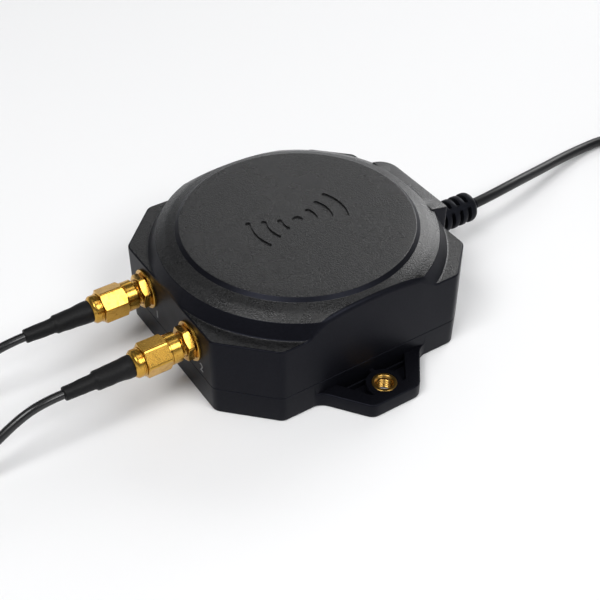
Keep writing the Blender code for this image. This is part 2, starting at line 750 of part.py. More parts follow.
def make_plug(side, number):
    flange_end = HEX_END - 1.7 * MM - GAP
    body = out_turned(f"plug_body_{number}", side, [
        (0.0, FERRULE_END + 7.0 * MM),
        (1.6 * MM, FERRULE_END + 7.0 * MM),
        (1.6 * MM, FERRULE_END),
        (2.8 * MM, FERRULE_END),
        (3.2 * MM, FERRULE_END - 0.4 * MM),
        (3.2 * MM, HEX_END + 1.1 * MM),
        (3.6 * MM, HEX_END + 0.9 * MM),
        (3.6 * MM, HEX_END + GAP),
        (2.7 * MM, HEX_END + GAP),
        (2.7 * MM, flange_end),
        (3.1 * MM, flange_end),
        (3.1 * MM, flange_end - 1.4 * MM),
        (2.1 * MM, flange_end - 1.4 * MM),
        (2.1 * MM, 6.4 * MM),
        (0.0, 6.4 * MM),
    ], 16)
    part(body, f"plug_body_{number}", (GOLD, 0.25, 1.0), 35)
    sleeve = out_turned(f"heat_shrink_{number}", side, [
        (LEAD_R + 0.1 * MM, SHRINK_END),
        (SHRINK_SMALL_R - 0.2 * MM, SHRINK_END),
        (SHRINK_SMALL_R, SHRINK_END - 0.3 * MM),
        (SHRINK_SMALL_R, SHRINK_STEP + 0.3 * MM),
        (SHRINK_R - 0.1 * MM, SHRINK_STEP - 0.6 * MM),
        (SHRINK_R, FERRULE_END + GAP),
        (1.9 * MM, FERRULE_END + GAP),
        (1.9 * MM, FERRULE_END + 7.2 * MM),
        (LEAD_R + 0.1 * MM, FERRULE_END + 7.2 * MM),
    ], 14)
    part(sleeve, f"heat_shrink_{number}", (DARK, 0.7), 35)


# ---------------------------------------------------------------- leads

LEAD_ROUTE_1 = [
    (-11.6 * MM, -71.3 * MM, 16.2 * MM),
    (-11.6 * MM, -75.5 * MM, 16.0 * MM),
    (-11.7 * MM, -80.0 * MM, 15.1 * MM),
    (-11.9 * MM, -86.0 * MM, 12.4 * MM),
    (-12.1 * MM, -92.0 * MM, 8.6 * MM),
    (-12.3 * MM, -98.5 * MM, 4.6 * MM),
    (-12.5 * MM, -105.5 * MM, 2.0 * MM),
    (-12.6 * MM, -113.0 * MM, 1.3 * MM),
    (-12.6 * MM, -124.0 * MM, 1.3 * MM),
]
LEAD_ROUTE_2 = [
    (11.6 * MM, -71.3 * MM, 16.2 * MM),
    (11.6 * MM, -75.5 * MM, 16.1 * MM),
    (11.6 * MM, -80.0 * MM, 15.3 * MM),
    (11.6 * MM, -84.5 * MM, 13.4 * MM),
    (11.6 * MM, -90.0 * MM, 10.1 * MM),
    (11.6 * MM, -97.0 * MM, 5.8 * MM),
    (11.6 * MM, -104.5 * MM, 2.5 * MM),
    (11.6 * MM, -113.0 * MM, 1.3 * MM),
    (11.6 * MM, -128.0 * MM, 1.3 * MM),
]
CABLE_ROUTE = [
    (0.0 * MM, 61.3 * MM, 10.5 * MM),
    (-0.5 * MM, 67.0 * MM, 10.4 * MM),
    (-1.6 * MM, 73.5 * MM, 9.9 * MM),
    (-3.6 * MM, 82.3 * MM, 8.7 * MM),
    (-6.6 * MM, 93.5 * MM, 6.6 * MM),
    (-9.9 * MM, 105.4 * MM, 4.3 * MM),
    (-12.3 * MM, 116.9 * MM, 2.5 * MM),
    (-12.8 * MM, 127.5 * MM, 1.8 * MM),
    (-9.4 * MM, 137.0 * MM, 1.7 * MM),
    (-2.6 * MM, 145.2 * MM, 1.7 * MM),
    (5.8 * MM, 151.7 * MM, 1.7 * MM),
    (12.9 * MM, 158.6 * MM, 1.7 * MM),
    (16.4 * MM, 165.9 * MM, 1.7 * MM),
    (17.3 * MM, 173.0 * MM, 1.7 * MM),
]


def coil_ring(name, centre, mean_radius, half_width, height):
    """The outer shape of a wound coil that lies on the surface."""
    inner = mean_radius - half_width
    outer = mean_radius + half_width
    soft = min(half_width, height / 2.0) * 0.5
    profile = [
        (inner + soft, height),
        (outer - soft, height),
        (outer, height - soft),
        (outer, soft),
        (outer - soft, 0.0),
        (inner + soft, 0.0),
        (inner, soft),
        (inner, height - soft),
    ]
    return turned(name, profile, (centre[0], centre[1], 0.0), segments=24)


def make_lead(number, route, coil_centre):
    name = f"antenna_lead_{number}"
    part(tube(name, route, LEAD_R, LEAD_POINT_SPACING), name, (DARK, 0.4))
    ring = coil_ring(f"{name}_coil", coil_centre, LEAD_COIL_R, LEAD_COIL_HALF_WIDTH, LEAD_COIL_HEIGHT)
    part(ring, f"{name}_coil", (DARK, 0.4), 35)


def make_lead_end(number, coil_centre, heading):
    """The connector on a lead's far end, lying on the surface beside the coil."""
    away = LEAD_COIL_R + LEAD_COIL_HALF_WIDTH + END_SLEEVE_R + GAP
    start = (coil_centre[0], coil_centre[1] - away, END_HEX_R)
    direction = (heading * math.cos(END_TURN), -math.sin(END_TURN), 0.0)
    body = turned(f"lead_end_connector_{number}", [
        (0.0, END_LENGTH),
        (3.9 * MM, END_LENGTH),
        (3.9 * MM, END_LENGTH - 3.0 * MM),
        (END_HEX_R, END_LENGTH - 3.0 * MM),
        (END_HEX_R, END_LENGTH - 9.0 * MM),
        (3.2 * MM, END_LENGTH - 9.6 * MM),
        (3.2 * MM, END_LENGTH - 11.0 * MM),
        (END_SLEEVE_R, END_LENGTH - 11.6 * MM),
        (END_SLEEVE_R, 0.0),
        (0.0, 0.0),
    ], start, direction, 16)
    bore = turned("end_bore", [
        (0.0, END_LENGTH + MM),
        (NUT_BORE_R, END_LENGTH + MM),
        (NUT_BORE_R, END_LENGTH - 7.0 * MM),
        (0.0, END_LENGTH - 7.0 * MM),
    ], start, direction, 16)
    cut(body, bore)
    part(body, f"lead_end_connector_{number}", (GOLD, 0.25, 1.0), 35)


def make_inner_coax(side, number):
    """From the jack's rear, over and down to the board."""
    rear = FRONT_Y + WALL + GAP + 4.0 * MM
    x = side * SMA_X
    route = [
        (x, rear + GAP, SMA_Z),
        (x, rear + 3.0 * MM, SMA_Z),
        (x * 0.95, rear + 7.0 * MM, SMA_Z - 2.4 * MM),
        (x * 0.85, rear + 9.5 * MM, SMA_Z - 6.0 * MM),
        (x * 0.75, rear + 12.5 * MM, BOARD_TOP + 1.3 * MM),
        (x * 0.6, rear + 15.5 * MM, BOARD_TOP + 1.1 * MM),
    ]
    name = f"inner_coax_{number}"
    part(tube(name, route, 0.6 * MM, 1.6 * MM, 1), name, (DARK, 0.5))


def make_strain_relief():
    """A ribbed sleeve whose inner flange sits behind the housing's wall."""
    inner_y = BACK_Y - WALL - 2.0 * MM
    length = RELIEF_END_Y - inner_y
    rib = (length - 14.0 * MM) / RELIEF_GROOVES
    profile = [
        (CABLE_R + 0.1 * MM, length),
        (RELIEF_R - 1.0 * MM, length),
        (RELIEF_R - 0.2 * MM, length - 0.6 * MM),
    ]
    for i in range(RELIEF_GROOVES):
        top = length - 1.4 * MM - i * rib
        profile += [
            (RELIEF_R - 0.1 * MM, top),
            (RELIEF_R - 1.1 * MM, top - 0.2 * MM),
            (RELIEF_R - 1.1 * MM, top - 0.9 * MM),
            (RELIEF_R - 0.1 * MM, top - 1.1 * MM),
        ]
    profile += [
        (RELIEF_R, BACK_Y - WALL - GAP - inner_y),
        (RELIEF_R + 0.9 * MM, BACK_Y - WALL - GAP - inner_y),
        (RELIEF_R + 0.9 * MM, 0.0),
        (CABLE_R + 0.1 * MM, 0.0),
    ]
    relief = turned("strain_relief", profile, (0.0, inner_y, CABLE_Z), (0, 1, 0), 14)
    part(relief, "strain_relief", (BLACK, 0.6), 35)


def make_cable():
    part(tube("main_cable", CABLE_ROUTE, CABLE_R, CABLE_POINT_SPACING), "main_cable", (DARK, 0.45))
    ring = coil_ring("main_cable_coil", CABLE_COIL, CABLE_COIL_R, CABLE_COIL_HALF_WIDTH, CABLE_COIL_HEIGHT)
    part(ring, "main_cable_coil", (DARK, 0.45), 35)


def make_usb_plug():
    """The plug on the main cable's far end lies on the surface behind the coil and points to -X."""
    outer = CABLE_COIL_R + CABLE_COIL_HALF_WIDTH
    y = CABLE_COIL[1] + outer + USB_NECK_R + GAP
    z = USB_BOOT[2] / 2.0
    neck_start = CABLE_COIL[0] - 1.0 * MM
    boot_start = neck_start - USB_NECK_LENGTH
    boot_end = boot_start - USB_BOOT[0]
    boot = box("usb_plug_body", (boot_end, y - USB_BOOT[1] / 2.0, 0.0), (boot_start, y + USB_BOOT[1] / 2.0, 2.0 * z))
    edge = boot.modifiers.new("edge", "BEVEL")
    edge.width = 1.6 * MM
    edge.segments = 2
    join(boot, rod("usb_neck", (boot_start - 2.0 * MM, y, z), (neck_start, y, z), USB_NECK_R, 16))
    part(boot, "usb_plug_body", (DARK, 0.5), 35)
    shell_end = boot_end - GAP - USB_SHELL[0]
    half_w = USB_SHELL[1] / 2.0
    half_h = USB_SHELL[2] / 2.0
    shell = box("usb_plug_shell", (shell_end, y - half_w, z - half_h), (boot_end - GAP, y + half_w, z + half_h))
    wall = USB_SHELL_WALL
    cut(shell, box("usb_space", (shell_end - MM, y - half_w + wall, z - half_h + wall),
                   (boot_end - 1.5 * MM, y + half_w - wall, z + half_h - wall)))
    part(shell, "usb_plug_shell", (STEEL, 0.25, 1.0))
    tongue = box("usb_plug_tongue", (shell_end + 0.8 * MM, y - half_w + wall + GAP, z - half_h + wall + GAP),
                 (boot_end - 1.5 * MM - GAP, y + half_w - wall - GAP, z + 0.2 * MM - GAP))
    part(tongue, "usb_plug_tongue", ((0.8, 0.8, 0.8), 0.5))


# ---------------------------------------------------------------- the whole receiver

def main():
    clear_scene()
    new_collection(COLLECTION)
    new_collection(CUTTERS).hide_render = True
    make_upper_housing()
    make_base_shell()
    make_gasket()
    make_housing_screws()
    make_inserts()
    make_board()
    make_board_screws()
    make_components()
    make_board_connector()
    for side, number, turn in ((-1, 1, 0.35), (1, 2, 0.15)):
        make_jack(side, number)
        make_wall_hardware(side, number)
        make_coupling_nut(side, number, turn)
        make_plug(side, number)
        make_inner_coax(side, number)
    make_lead(1, LEAD_ROUTE_1, LEAD_COIL_1)
    make_lead(2, LEAD_ROUTE_2, LEAD_COIL_2)
    make_lead_end(1, LEAD_COIL_1, -1)
    make_lead_end(2, LEAD_COIL_2, 1)
    make_strain_relief()
    make_cable()
    make_usb_plug()


main()
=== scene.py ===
"""The looks of the GNSS receiver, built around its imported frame.

+X points to one mounting ear, -Y to the antenna connectors, +Y to the cable. The receiver stands on z = 0.
"""

import math
from collections import namedtuple

import bmesh
import bpy
from mathutils import Matrix, Vector


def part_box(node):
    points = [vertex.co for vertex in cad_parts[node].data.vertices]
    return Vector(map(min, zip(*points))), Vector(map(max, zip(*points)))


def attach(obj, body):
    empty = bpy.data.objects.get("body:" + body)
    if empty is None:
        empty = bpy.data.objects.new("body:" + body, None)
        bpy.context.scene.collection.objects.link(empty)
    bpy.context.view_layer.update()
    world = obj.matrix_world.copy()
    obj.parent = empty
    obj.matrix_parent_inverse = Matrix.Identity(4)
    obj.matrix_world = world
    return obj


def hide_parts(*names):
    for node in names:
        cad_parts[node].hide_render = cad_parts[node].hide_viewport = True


MM = 0.001
BODY = "receiver"
ARC_STEPS = 6  # in a corner's arc
SQUIRCLE_POINTS = 48


def in_mm(*rows):
    """Points, stations or stops whose measures are all in millimetres."""
    return [tuple(value * MM for value in row) for row in rows]


# Housing, as in the frame
HALF_X = 34.0 * MM
FRONT_Y = -38.4 * MM
BACK_Y = 35.4 * MM
CHAMFER_REACH = 60.1 * MM  # x + y along each corner's chamfer
PAD_Z = 23.2 * MM
DISC_Z = 29.9 * MM
SPLIT_Z = 7.9 * MM
SEAM = 0.05 * MM  # half the gap between the shells
SEAM_EDGE = 0.09 * MM
WALL = 2.2 * MM
DOME_WALL = 1.3 * MM  # how far the inside of the dome's slopes is drawn in
CORNER_ROUND = 2.8 * MM
FOOT_ROUND = 0.5 * MM
PAD_EDGE = 0.4 * MM
DOME_EDGE = 1.0 * MM
DOME_EDGE_STEPS = 7
BOSS_HALF_X = 13.3 * MM
BOSS_Y = 39.0 * MM
BOSS_TOP = 26.40 * MM  # at its far edge
BOSS_SLOPE = 0.23
BOSS_LEFT_ROUND = 4.2 * MM
EAR_X = 45.2 * MM
EAR_Z = 4.3 * MM
EAR_INNER_X = 33.5 * MM
EAR_BOSS_R = 4.7 * MM
POCKET_Z = 1.5 * MM
INSERT_X = 39.6 * MM
INSERT_R = 3.2 * MM
INSERT_BORE = 2.08 * MM  # at the thread's roots
INSERT_CREST = 1.88 * MM  # faces further out than this, deep in the thread's grooves, take painted shade
SCREW_REACH = 26.3 * MM
SCREW_POST_R = 3.3 * MM
SCREW_SEAT = 2.3 * MM
SCREW_LOW = SCREW_SEAT - 1.6 * MM  # the underside of the heads
STANDOFF_X = 24.0 * MM
STANDOFF_Y = 14.5 * MM
MARK_DEPTH = 0.4 * MM
MARK_DOT_R = 1.35 * MM
MARK_STROKE = 1.3 * MM
MARK_ARCS = (4.6 * MM, 8.7 * MM, 12.8 * MM)
MARK_HALF_ANGLE = math.radians(24.0)

# Antenna connections: distances out from the front wall
THREAD_R = 3.1 * MM
SMA_PITCH = 0.7056 * MM
HEX_ACROSS = 8.0 * MM
HEX_WORN = 0.985  # how much of a sharp corner's reach is left
HEX_SLOPE = 0.55  # of the chamfers on a hexagon's ends
WASHER_R = 5.3 * MM
COLLAR_R = 3.9 * MM
COLLAR_START = 4.0 * MM
HEX_START = 7.0 * MM
HEX_END = 13.5 * MM
SMA_X = 11.6 * MM
SMA_Z = 16.2 * MM
PORT_MARK_SIZE = 3.4 * MM
CABLE_Z = 10.5 * MM
RELIEF_R = 4.35 * MM
RELIEF_START_Y = 31.2 * MM
RELIEF_END_Y = 61.0 * MM
RELIEF_SLOTS = 5
RELIEF_COLLAR = 1.6 * MM  # the thin end round the cable
RELIEF_TURN = math.radians(40.0)
RELIEF_PITCH = 2.9 * MM
RELIEF_SLOT = 1.15 * MM
RELIEF_NOSE = 1.5 * MM  # the round at the end of the thick part

# Leads and cable
Wire = namedtuple("Wire", "radius length look spacing coil_radius columns rows end")
LEAD = Wire(
    radius=1.15 * MM,
    length=1.0,
    look="lead_jacket",
    spacing=1.6 * MM,
    coil_radius=13.5 * MM,
    columns=3,
    rows=4,
    end=(19.9 * MM, 4.4 * MM),  # radius and height of the way out of the coil
)
CABLE = Wire(
    radius=1.55 * MM,
    length=1.5,
    look="cable_jacket",
    spacing=3.2 * MM,
    coil_radius=17.0 * MM,
    columns=4,
    rows=4,
    end=(26.2 * MM, 4.0 * MM),
)
LEAD_COIL_1 = (-31.85 * MM, -124.0 * MM)
LEAD_COIL_2 = (30.85 * MM, -128.0 * MM)
CABLE_COIL = (-8.0 * MM, 173.0 * MM)
LEAD_HEX_ACROSS = 7.6 * MM
COIL_POINTS = 36  # in one turn
COIL_SHIFT = 0.15  # the part of a turn in which a wire moves over or climbs
COIL_LIFT = 0.35 * MM  # the tie passes under the lowest turns
TURN_CLEARANCE = 0.1 * MM
TIE_HALF_WIDTH = 1.3 * MM

LEAD_ROUTE_1 = in_mm(
    (-11.6, -71.3, 16.2), (-11.6, -75.5, 16.0), (-11.7, -80.0, 15.1), (-11.9, -86.0, 12.4),
    (-12.1, -92.0, 8.6), (-12.3, -98.5, 4.6), (-12.5, -105.5, 2.0), (-12.6, -113.0, 1.3),
    (-12.6, -124.0, 1.3),
)
LEAD_ROUTE_2 = in_mm(
    (11.6, -71.3, 16.2), (11.6, -75.5, 16.1), (11.6, -80.0, 15.3), (11.6, -84.5, 13.4),
    (11.6, -90.0, 10.1), (11.6, -97.0, 5.8), (11.6, -104.5, 2.5), (11.6, -113.0, 1.3),
    (11.6, -128.0, 1.3),
)
CABLE_ROUTE = in_mm(
    (0.0, 61.3, 10.5), (-0.5, 67.0, 10.4), (-1.6, 73.5, 9.9), (-3.6, 82.3, 8.7),
    (-6.6, 93.5, 6.6), (-9.9, 105.4, 4.3), (-12.3, 116.9, 2.5), (-12.8, 127.5, 1.8),
    (-9.4, 137.0, 1.7), (-2.6, 145.2, 1.7), (5.8, 151.7, 1.7), (12.9, 158.6, 1.7),
    (16.4, 165.9, 1.7), (17.3, 173.0, 1.7),
)

# Camera and stage
CAMERA_PLACE, CAMERA_TARGET = in_mm((189.61, -122.66, 199.20), (21.88, -13.48, 24.79))
CAMERA_LENS = 65.95
FLOOR_R = 0.75
PANELS = (  # name, azimuth from +X towards +Y and elevation in degrees, size, radiance
    ("back_key", 112.0, 25.0, (0.42, 0.60), 5.0),
    ("back_left_soft", 147.0, 36.0, (0.52, 0.25), 1.75),
    ("top_soft", 60.0, 84.0, (0.35, 0.35), 2.0),
    ("left_fill", 215.0, 52.0, (0.50, 0.50), 0.35),
    ("front_fill", 290.0, 55.0, (0.45, 0.45), 9.0),
    ("right_fill", 15.0, 48.0, (0.45, 0.45), 7.0),
)

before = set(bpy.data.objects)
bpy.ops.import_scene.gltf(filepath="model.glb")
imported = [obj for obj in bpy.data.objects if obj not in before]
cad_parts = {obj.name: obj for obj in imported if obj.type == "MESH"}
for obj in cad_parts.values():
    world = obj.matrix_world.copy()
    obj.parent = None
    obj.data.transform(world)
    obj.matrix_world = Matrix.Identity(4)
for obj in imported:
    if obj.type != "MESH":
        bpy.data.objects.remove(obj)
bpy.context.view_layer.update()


# ---------------------------------------------------------------- materials

def add_node(tree, kind, links, **values):
    """A shader node whose inputs have the given links, by name, and values."""
    node = tree.nodes.new(kind)
    for name, source in links.items():
        tree.links.new(source, node.inputs[name])
    for name, value in values.items():
        node.inputs[name.replace("_", " ")].default_value = value
    return node


def new_look(name, colour, roughness, metallic=0.0):
    """A Principled material, with its node tree, shader and object-space coordinates at hand."""
    look = bpy.data.materials.new(name)
    look.use_nodes = True
    shader = look.node_tree.nodes["Principled BSDF"]
    shader.inputs["Base Color"].default_value = (*colour, 1.0)
    shader.inputs["Roughness"].default_value = roughness
    shader.inputs["Metallic"].default_value = metallic
    place = look.node_tree.nodes.new("ShaderNodeTexCoord").outputs["Object"]
    return look, look.node_tree, shader, place


def grain(tree, source, scale, detail, stretch=(1.0, 1.0, 1.0), roughness=0.5):
    """A noise in object space; scale counts features to the metre."""
    mapping = add_node(tree, "ShaderNodeMapping", {"Vector": source}, Scale=stretch)
    noise = add_node(tree, "ShaderNodeTexNoise", {"Vector": mapping.outputs["Vector"]}, Scale=scale,
                     Detail=detail, Roughness=roughness)
    return noise.outputs["Fac"]


def spread(tree, value, low, high, out_low, out_high):
    """Maps low..high of a value to out_low..out_high, held at both ends."""
    ranged = add_node(tree, "ShaderNodeMapRange", {"Value": value}, From_Min=low, From_Max=high,
                      To_Min=out_low, To_Max=out_high)
    return ranged.outputs["Result"]


def blend_colours(tree, value, first, second, low, high):
    ramp = add_node(tree, "ShaderNodeValToRGB", {"Fac": value})
    for element, position, colour in zip(ramp.color_ramp.elements, (low, high), (first, second)):
        element.position = position
        element.color = (*colour, 1.0)
    return ramp.outputs["Color"]


def raise_surface(tree, shader, value, height, strength=1.0, below=None):
    """Adds a bump; height is in metres. Returns the normal, for a second bump on top of it."""
    links = {"Height": value, "Normal": below} if below else {"Height": value}
    bump = add_node(tree, "ShaderNodeBump", links, Distance=height, Strength=strength)
    tree.links.new(bump.outputs["Normal"], shader.inputs["Normal"])
    return bump.outputs["Normal"]


def moulded(name, dark, light, roughness, grain_size, grain_height, gloss=0.5, tint=(1.0, 1.0, 1.0)):
    """Moulded plastic or rubber: an even fine grain, a slow swell in the surface and roughness that varies a
    little.
    """
    look, tree, shader, place = new_look(name, dark, roughness)
    shader.inputs["Specular IOR Level"].default_value = gloss
    shader.inputs["Specular Tint"].default_value = (*tint, 1.0)
    fine = grain(tree, place, 1.0 / (grain_size * MM), 1.5, roughness=0.6)
    slow = grain(tree, place, 90.0, 3.0)
    tree.links.new(blend_colours(tree, fine, dark, light, 0.36, 0.66), shader.inputs["Base Color"])
    duller = spread(tree, slow, 0.3, 0.7, roughness - 0.04, roughness + 0.04)
    tree.links.new(duller, shader.inputs["Roughness"])
    flow = raise_surface(tree, shader, slow, 0.02 * MM, 0.5)
    raise_surface(tree, shader, fine, grain_height * MM, 1.0, flow)
    return look


def plated(name, colour, shade, roughness, line_scale=9000.0, stretch=(0.02, 1.0, 0.02)):
    """Machined metal: turning lines, a slow tint and small dull marks."""
    look, tree, shader, place = new_look(name, colour, roughness, 1.0)
    lines = grain(tree, place, line_scale, 1.0, stretch)
    marks = grain(tree, place, 700.0, 4.0, roughness=0.65)
    tree.links.new(blend_colours(tree, marks, shade, colour, 0.28, 0.50), shader.inputs["Base Color"])
    duller = spread(tree, marks, 0.35, 0.70, roughness + 0.06, roughness - 0.03)
    tree.links.new(duller, shader.inputs["Roughness"])
    worn = raise_surface(tree, shader, marks, 0.0015 * MM, 0.5)
    raise_surface(tree, shader, lines, 0.0012 * MM, 1.0, worn)
    return look


NAVY = (0.72, 0.76, 1.0)
MOULDED = {  # dark, light, roughness, grain's size and height in millimetres, gloss, tint
    "housing_top": ((0.0010, 0.0010, 0.0012), (0.0200, 0.0200, 0.0206), 0.28, 0.32, 0.100, 0.46),
    "housing_wall": ((0.0026, 0.0026, 0.0036), (0.0040, 0.0041, 0.0058), 0.40, 0.55, 0.005, 0.12, NAVY),
    "base_wall": ((0.0022, 0.0022, 0.0031), (0.0036, 0.0037, 0.0052), 0.40, 0.55, 0.005, 0.12, NAVY),
    "relief": ((0.0022, 0.0025, 0.0034), (0.0040, 0.0043, 0.0054), 0.44, 0.35, 0.006, 0.14, NAVY),
    "heat_shrink": ((0.0032, 0.0032, 0.0036), (0.0060, 0.0060, 0.0064), 0.50, 0.45, 0.010, 0.2),
    "seal": ((0.010, 0.010, 0.010), (0.016, 0.016, 0.016), 0.75, 0.3, 0.01),
    "chip": ((0.012, 0.012, 0.013), (0.022, 0.022, 0.023), 0.55, 0.1, 0.004),
    "header": ((0.62, 0.59, 0.52), (0.70, 0.67, 0.60), 0.45, 0.4, 0.004),
    "dielectric": ((0.74, 0.74, 0.72), (0.82, 0.82, 0.80), 0.42, 0.4, 0.004),
    "board": ((0.012, 0.095, 0.045), (0.020, 0.130, 0.062), 0.32, 0.8, 0.006),
    "wire_red": ((0.40, 0.012, 0.012), (0.48, 0.020, 0.018), 0.4, 0.4, 0.003),
    "wire_green": ((0.012, 0.20, 0.04), (0.02, 0.26, 0.05), 0.4, 0.4, 0.003),
    "print": ((0.16, 0.16, 0.16), (0.22, 0.22, 0.22), 0.5, 0.2, 0.004),
    "cable_jacket": ((0.0045, 0.0047, 0.0055), (0.0075, 0.0077, 0.0085), 0.40, 0.5, 0.003, 0.25),
    "lead_jacket": ((0.0065, 0.0066, 0.0070), (0.0100, 0.0100, 0.0105), 0.27, 0.5, 0.003),
    "tie": ((0.010, 0.010, 0.011), (0.016, 0.016, 0.017), 0.45, 0.25, 0.01),
}
PLATED = {  # colour, shade, roughness, turning lines to the metre, their stretch
    "gold": ((0.60, 0.345, 0.064), (0.47, 0.25, 0.038), 0.22),
    "brass": ((0.42, 0.25, 0.065), (0.26, 0.14, 0.030), 0.30, 9000.0, (0.02, 0.02, 1.0)),
    # painted shade: a near-black brass for the deep part of the inserts' thread grooves, where shade falls
    "painted_thread_shade": ((0.075, 0.036, 0.010), (0.040, 0.018, 0.006), 0.5),
    "steel": ((0.60, 0.60, 0.61), (0.42, 0.42, 0.43), 0.28, 3000.0, (1.0, 1.0, 1.0)),
}
LOOKS = {name: moulded(f"{name}_look", *values) for name, values in MOULDED.items()}
LOOKS.update({name: plated(f"{name}_look", *values) for name, values in PLATED.items()})


# ---------------------------------------------------------------- mesh tools

def ease(value):
    value = min(max(value, 0.0), 1.0)
    return value * value * (3.0 - 2.0 * value)


def circle(radius, points):
    return [(radius * math.cos(turn), radius * math.sin(turn))
            for turn in (2.0 * math.pi * k / points for k in range(points))]


def at_height(row, z):
    return [(point[0], point[1], z) for point in row]


def new_object(name, data):
    made = bpy.data.objects.new(name, data)
    bpy.context.scene.collection.objects.link(made)
    return made


def solid(name, shape, looks, smooth_angle=35.0, weld=0.002 * MM):
    """Welds a bmesh and makes it an object with smooth shading up to an angle."""
    bmesh.ops.remove_doubles(shape, verts=shape.verts, dist=weld)
    bmesh.ops.dissolve_degenerate(shape, edges=shape.edges, dist=weld / 4.0)
    bmesh.ops.recalc_face_normals(shape, faces=shape.faces)
    mesh = bpy.data.meshes.new(name)
    shape.to_mesh(mesh)
    shape.free()
    for look in looks:
        mesh.materials.append(look)
    mesh.shade_smooth()
    mesh.set_sharp_from_angle(angle=math.radians(smooth_angle))
    return new_object(name, mesh)


def lofted(name, rows, looks, smooth_angle=35.0, ring=False, look_of=lambda row: 0, weld=0.002 * MM):
    """A solid over closed rows of points. In a ring the last row meets the first; else both ends are faces.

    look_of tells which of the looks the faces that follow a row have.
    """
    shape = bmesh.new()
    loops = [[shape.verts.new(point) for point in row] for row in rows]
    follow = loops[1:] + ([loops[0]] if ring else [])
    for index, (first, second) in enumerate(zip(loops, follow)):
        for i in range(len(first)):
            j = (i + 1) % len(first)
            face = shape.faces.new((first[i], first[j], second[j], second[i]))
            face.material_index = look_of(index)
    if not ring:
        for index in (0, len(loops) - 1):
            shape.faces.new(loops[index]).material_index = look_of(index)
    return solid(name, shape, looks, smooth_angle, weld)


# ---------------------------------------------------------------- outlines and profiles

def inset_corners(corners, inset):
    """Moves every side of a counterclockwise polygon inwards."""
    moved = []
    for i, corner in enumerate(corners):
        corner = Vector(corner)
        before = (corner - Vector(corners[i - 1])).normalized()
        after = (Vector(corners[(i + 1) % len(corners)]) - corner).normalized()
        first = Vector((-before.y, before.x))
        second = Vector((-after.y, after.x))
        moved.append(corner + (first + second) * (inset / (1.0 + first.dot(second))))
    return moved


def fillet(before, corner, after, radius, steps):
    """Points of the arc that rounds a corner between its neighbours."""
    back = (before - corner).normalized()
    on = (after - corner).normalized()
    half = back.angle(on) / 2.0
    centre = corner + (back + on).normalized() * (radius / math.sin(half))
    start = corner + back * (radius / math.tan(half)) - centre
    end = corner + on * (radius / math.tan(half)) - centre
    sweep = start.angle_signed(end)
    return [centre + Matrix.Rotation(-sweep * k / steps, 2) @ start for k in range(steps + 1)]


def outline_row(corners, radii, inset=0.0, spacing=0.9 * MM, arc_steps=ARC_STEPS):
    """Points round a polygon with arcs at its corners; every inset gives the same number of points.

    A negative radius marks a corner that turns inwards.
    """
    loop = inset_corners(corners, inset)
    arcs = []
    for i, corner in enumerate(loop):
        radius = max(abs(radii[i]) - math.copysign(inset, radii[i]), 0.1 * MM)
        arcs.append(fillet(loop[i - 1], corner, loop[(i + 1) % len(loop)], radius, arc_steps))
    points = []
    for i, arc in enumerate(arcs):
        follow = arcs[(i + 1) % len(arcs)][0]
        side = (Vector(corners[(i + 1) % len(corners)]) - Vector(corners[i])).length
        count = max(1, round(side / spacing))
        points += arc + [arc[-1].lerp(follow, k / count) for k in range(1, count)]
    return points


def rounded_profile(stops):
    """A polyline of (x, y, fillet radius) stops with each fillet as an arc."""
    made = [Vector(stops[0][:2])]
    for before, stop, after in zip(stops, stops[1:], stops[2:]):
        made += fillet(Vector(before[:2]), Vector(stop[:2]), Vector(after[:2]), stop[2], ARC_STEPS)
    made.append(Vector(stops[-1][:2]))
    return made


def height_on(profile, reach):
    for first, second in zip(profile, profile[1:]):
        if reach <= second.x:
            return first.y + (second.y - first.y) * (max(reach, first.x) - first.x) / (second.x - first.x)
    return profile[-1].y


def rectangle(left, right, near, far):
    return [(left, near), (right, near), (right, far), (left, far)]


def squircle(half_width, half_height, power):
    """A rounded rectangle's points round (0, 0)."""
    row = []
    for k in range(SQUIRCLE_POINTS):
        turn = 2.0 * math.pi * (k + 0.5) / SQUIRCLE_POINTS
        c = math.cos(turn)
        s = math.sin(turn)
        row.append((math.copysign(abs(c) ** (2.0 / power), c) * half_width,
                    math.copysign(abs(s) ** (2.0 / power), s) * half_height))
    return row


# ---------------------------------------------------------------- solids

def fillet_rows(corners, radii, size, z, steps=5, **detail):
    """Rows round the edge between side walls and a flat face at z; a negative size rounds a lower edge."""
    rows = []
    for k in range(steps + 1):
        turn = math.pi / 2.0 * k / steps
        inset = abs(size) * (1.0 - math.cos(turn))
        drop = size * (1.0 - math.sin(turn))
        rows.append(at_height(outline_row(corners, radii, inset, **detail), z - drop))
    return rows


def block(name, corners, radii, low, high, low_edge, high_edge, look, **detail):
    """A solid between two heights with rounded corners and rounded top and bottom edges."""
    rows = list(reversed(fillet_rows(corners, radii, -low_edge, low, **detail)))
    rows += fillet_rows(corners, radii, high_edge, high, **detail)
    return lofted(name, rows, [look])


def prism(name, outline, low, high, look, flare=0.0):
    """A cutter: a flat outline between two heights, wider by flare at its upper end."""
    rows = [at_height(outline, low), at_height(outline, high - 2.0 * flare)]
    if flare:
        wide = inset_corners(outline, -flare)
        rows += [at_height(wide, high - flare), at_height(wide, high + 1.0 * MM)]
    return lofted(name, rows, [look], weld=0.0005 * MM)


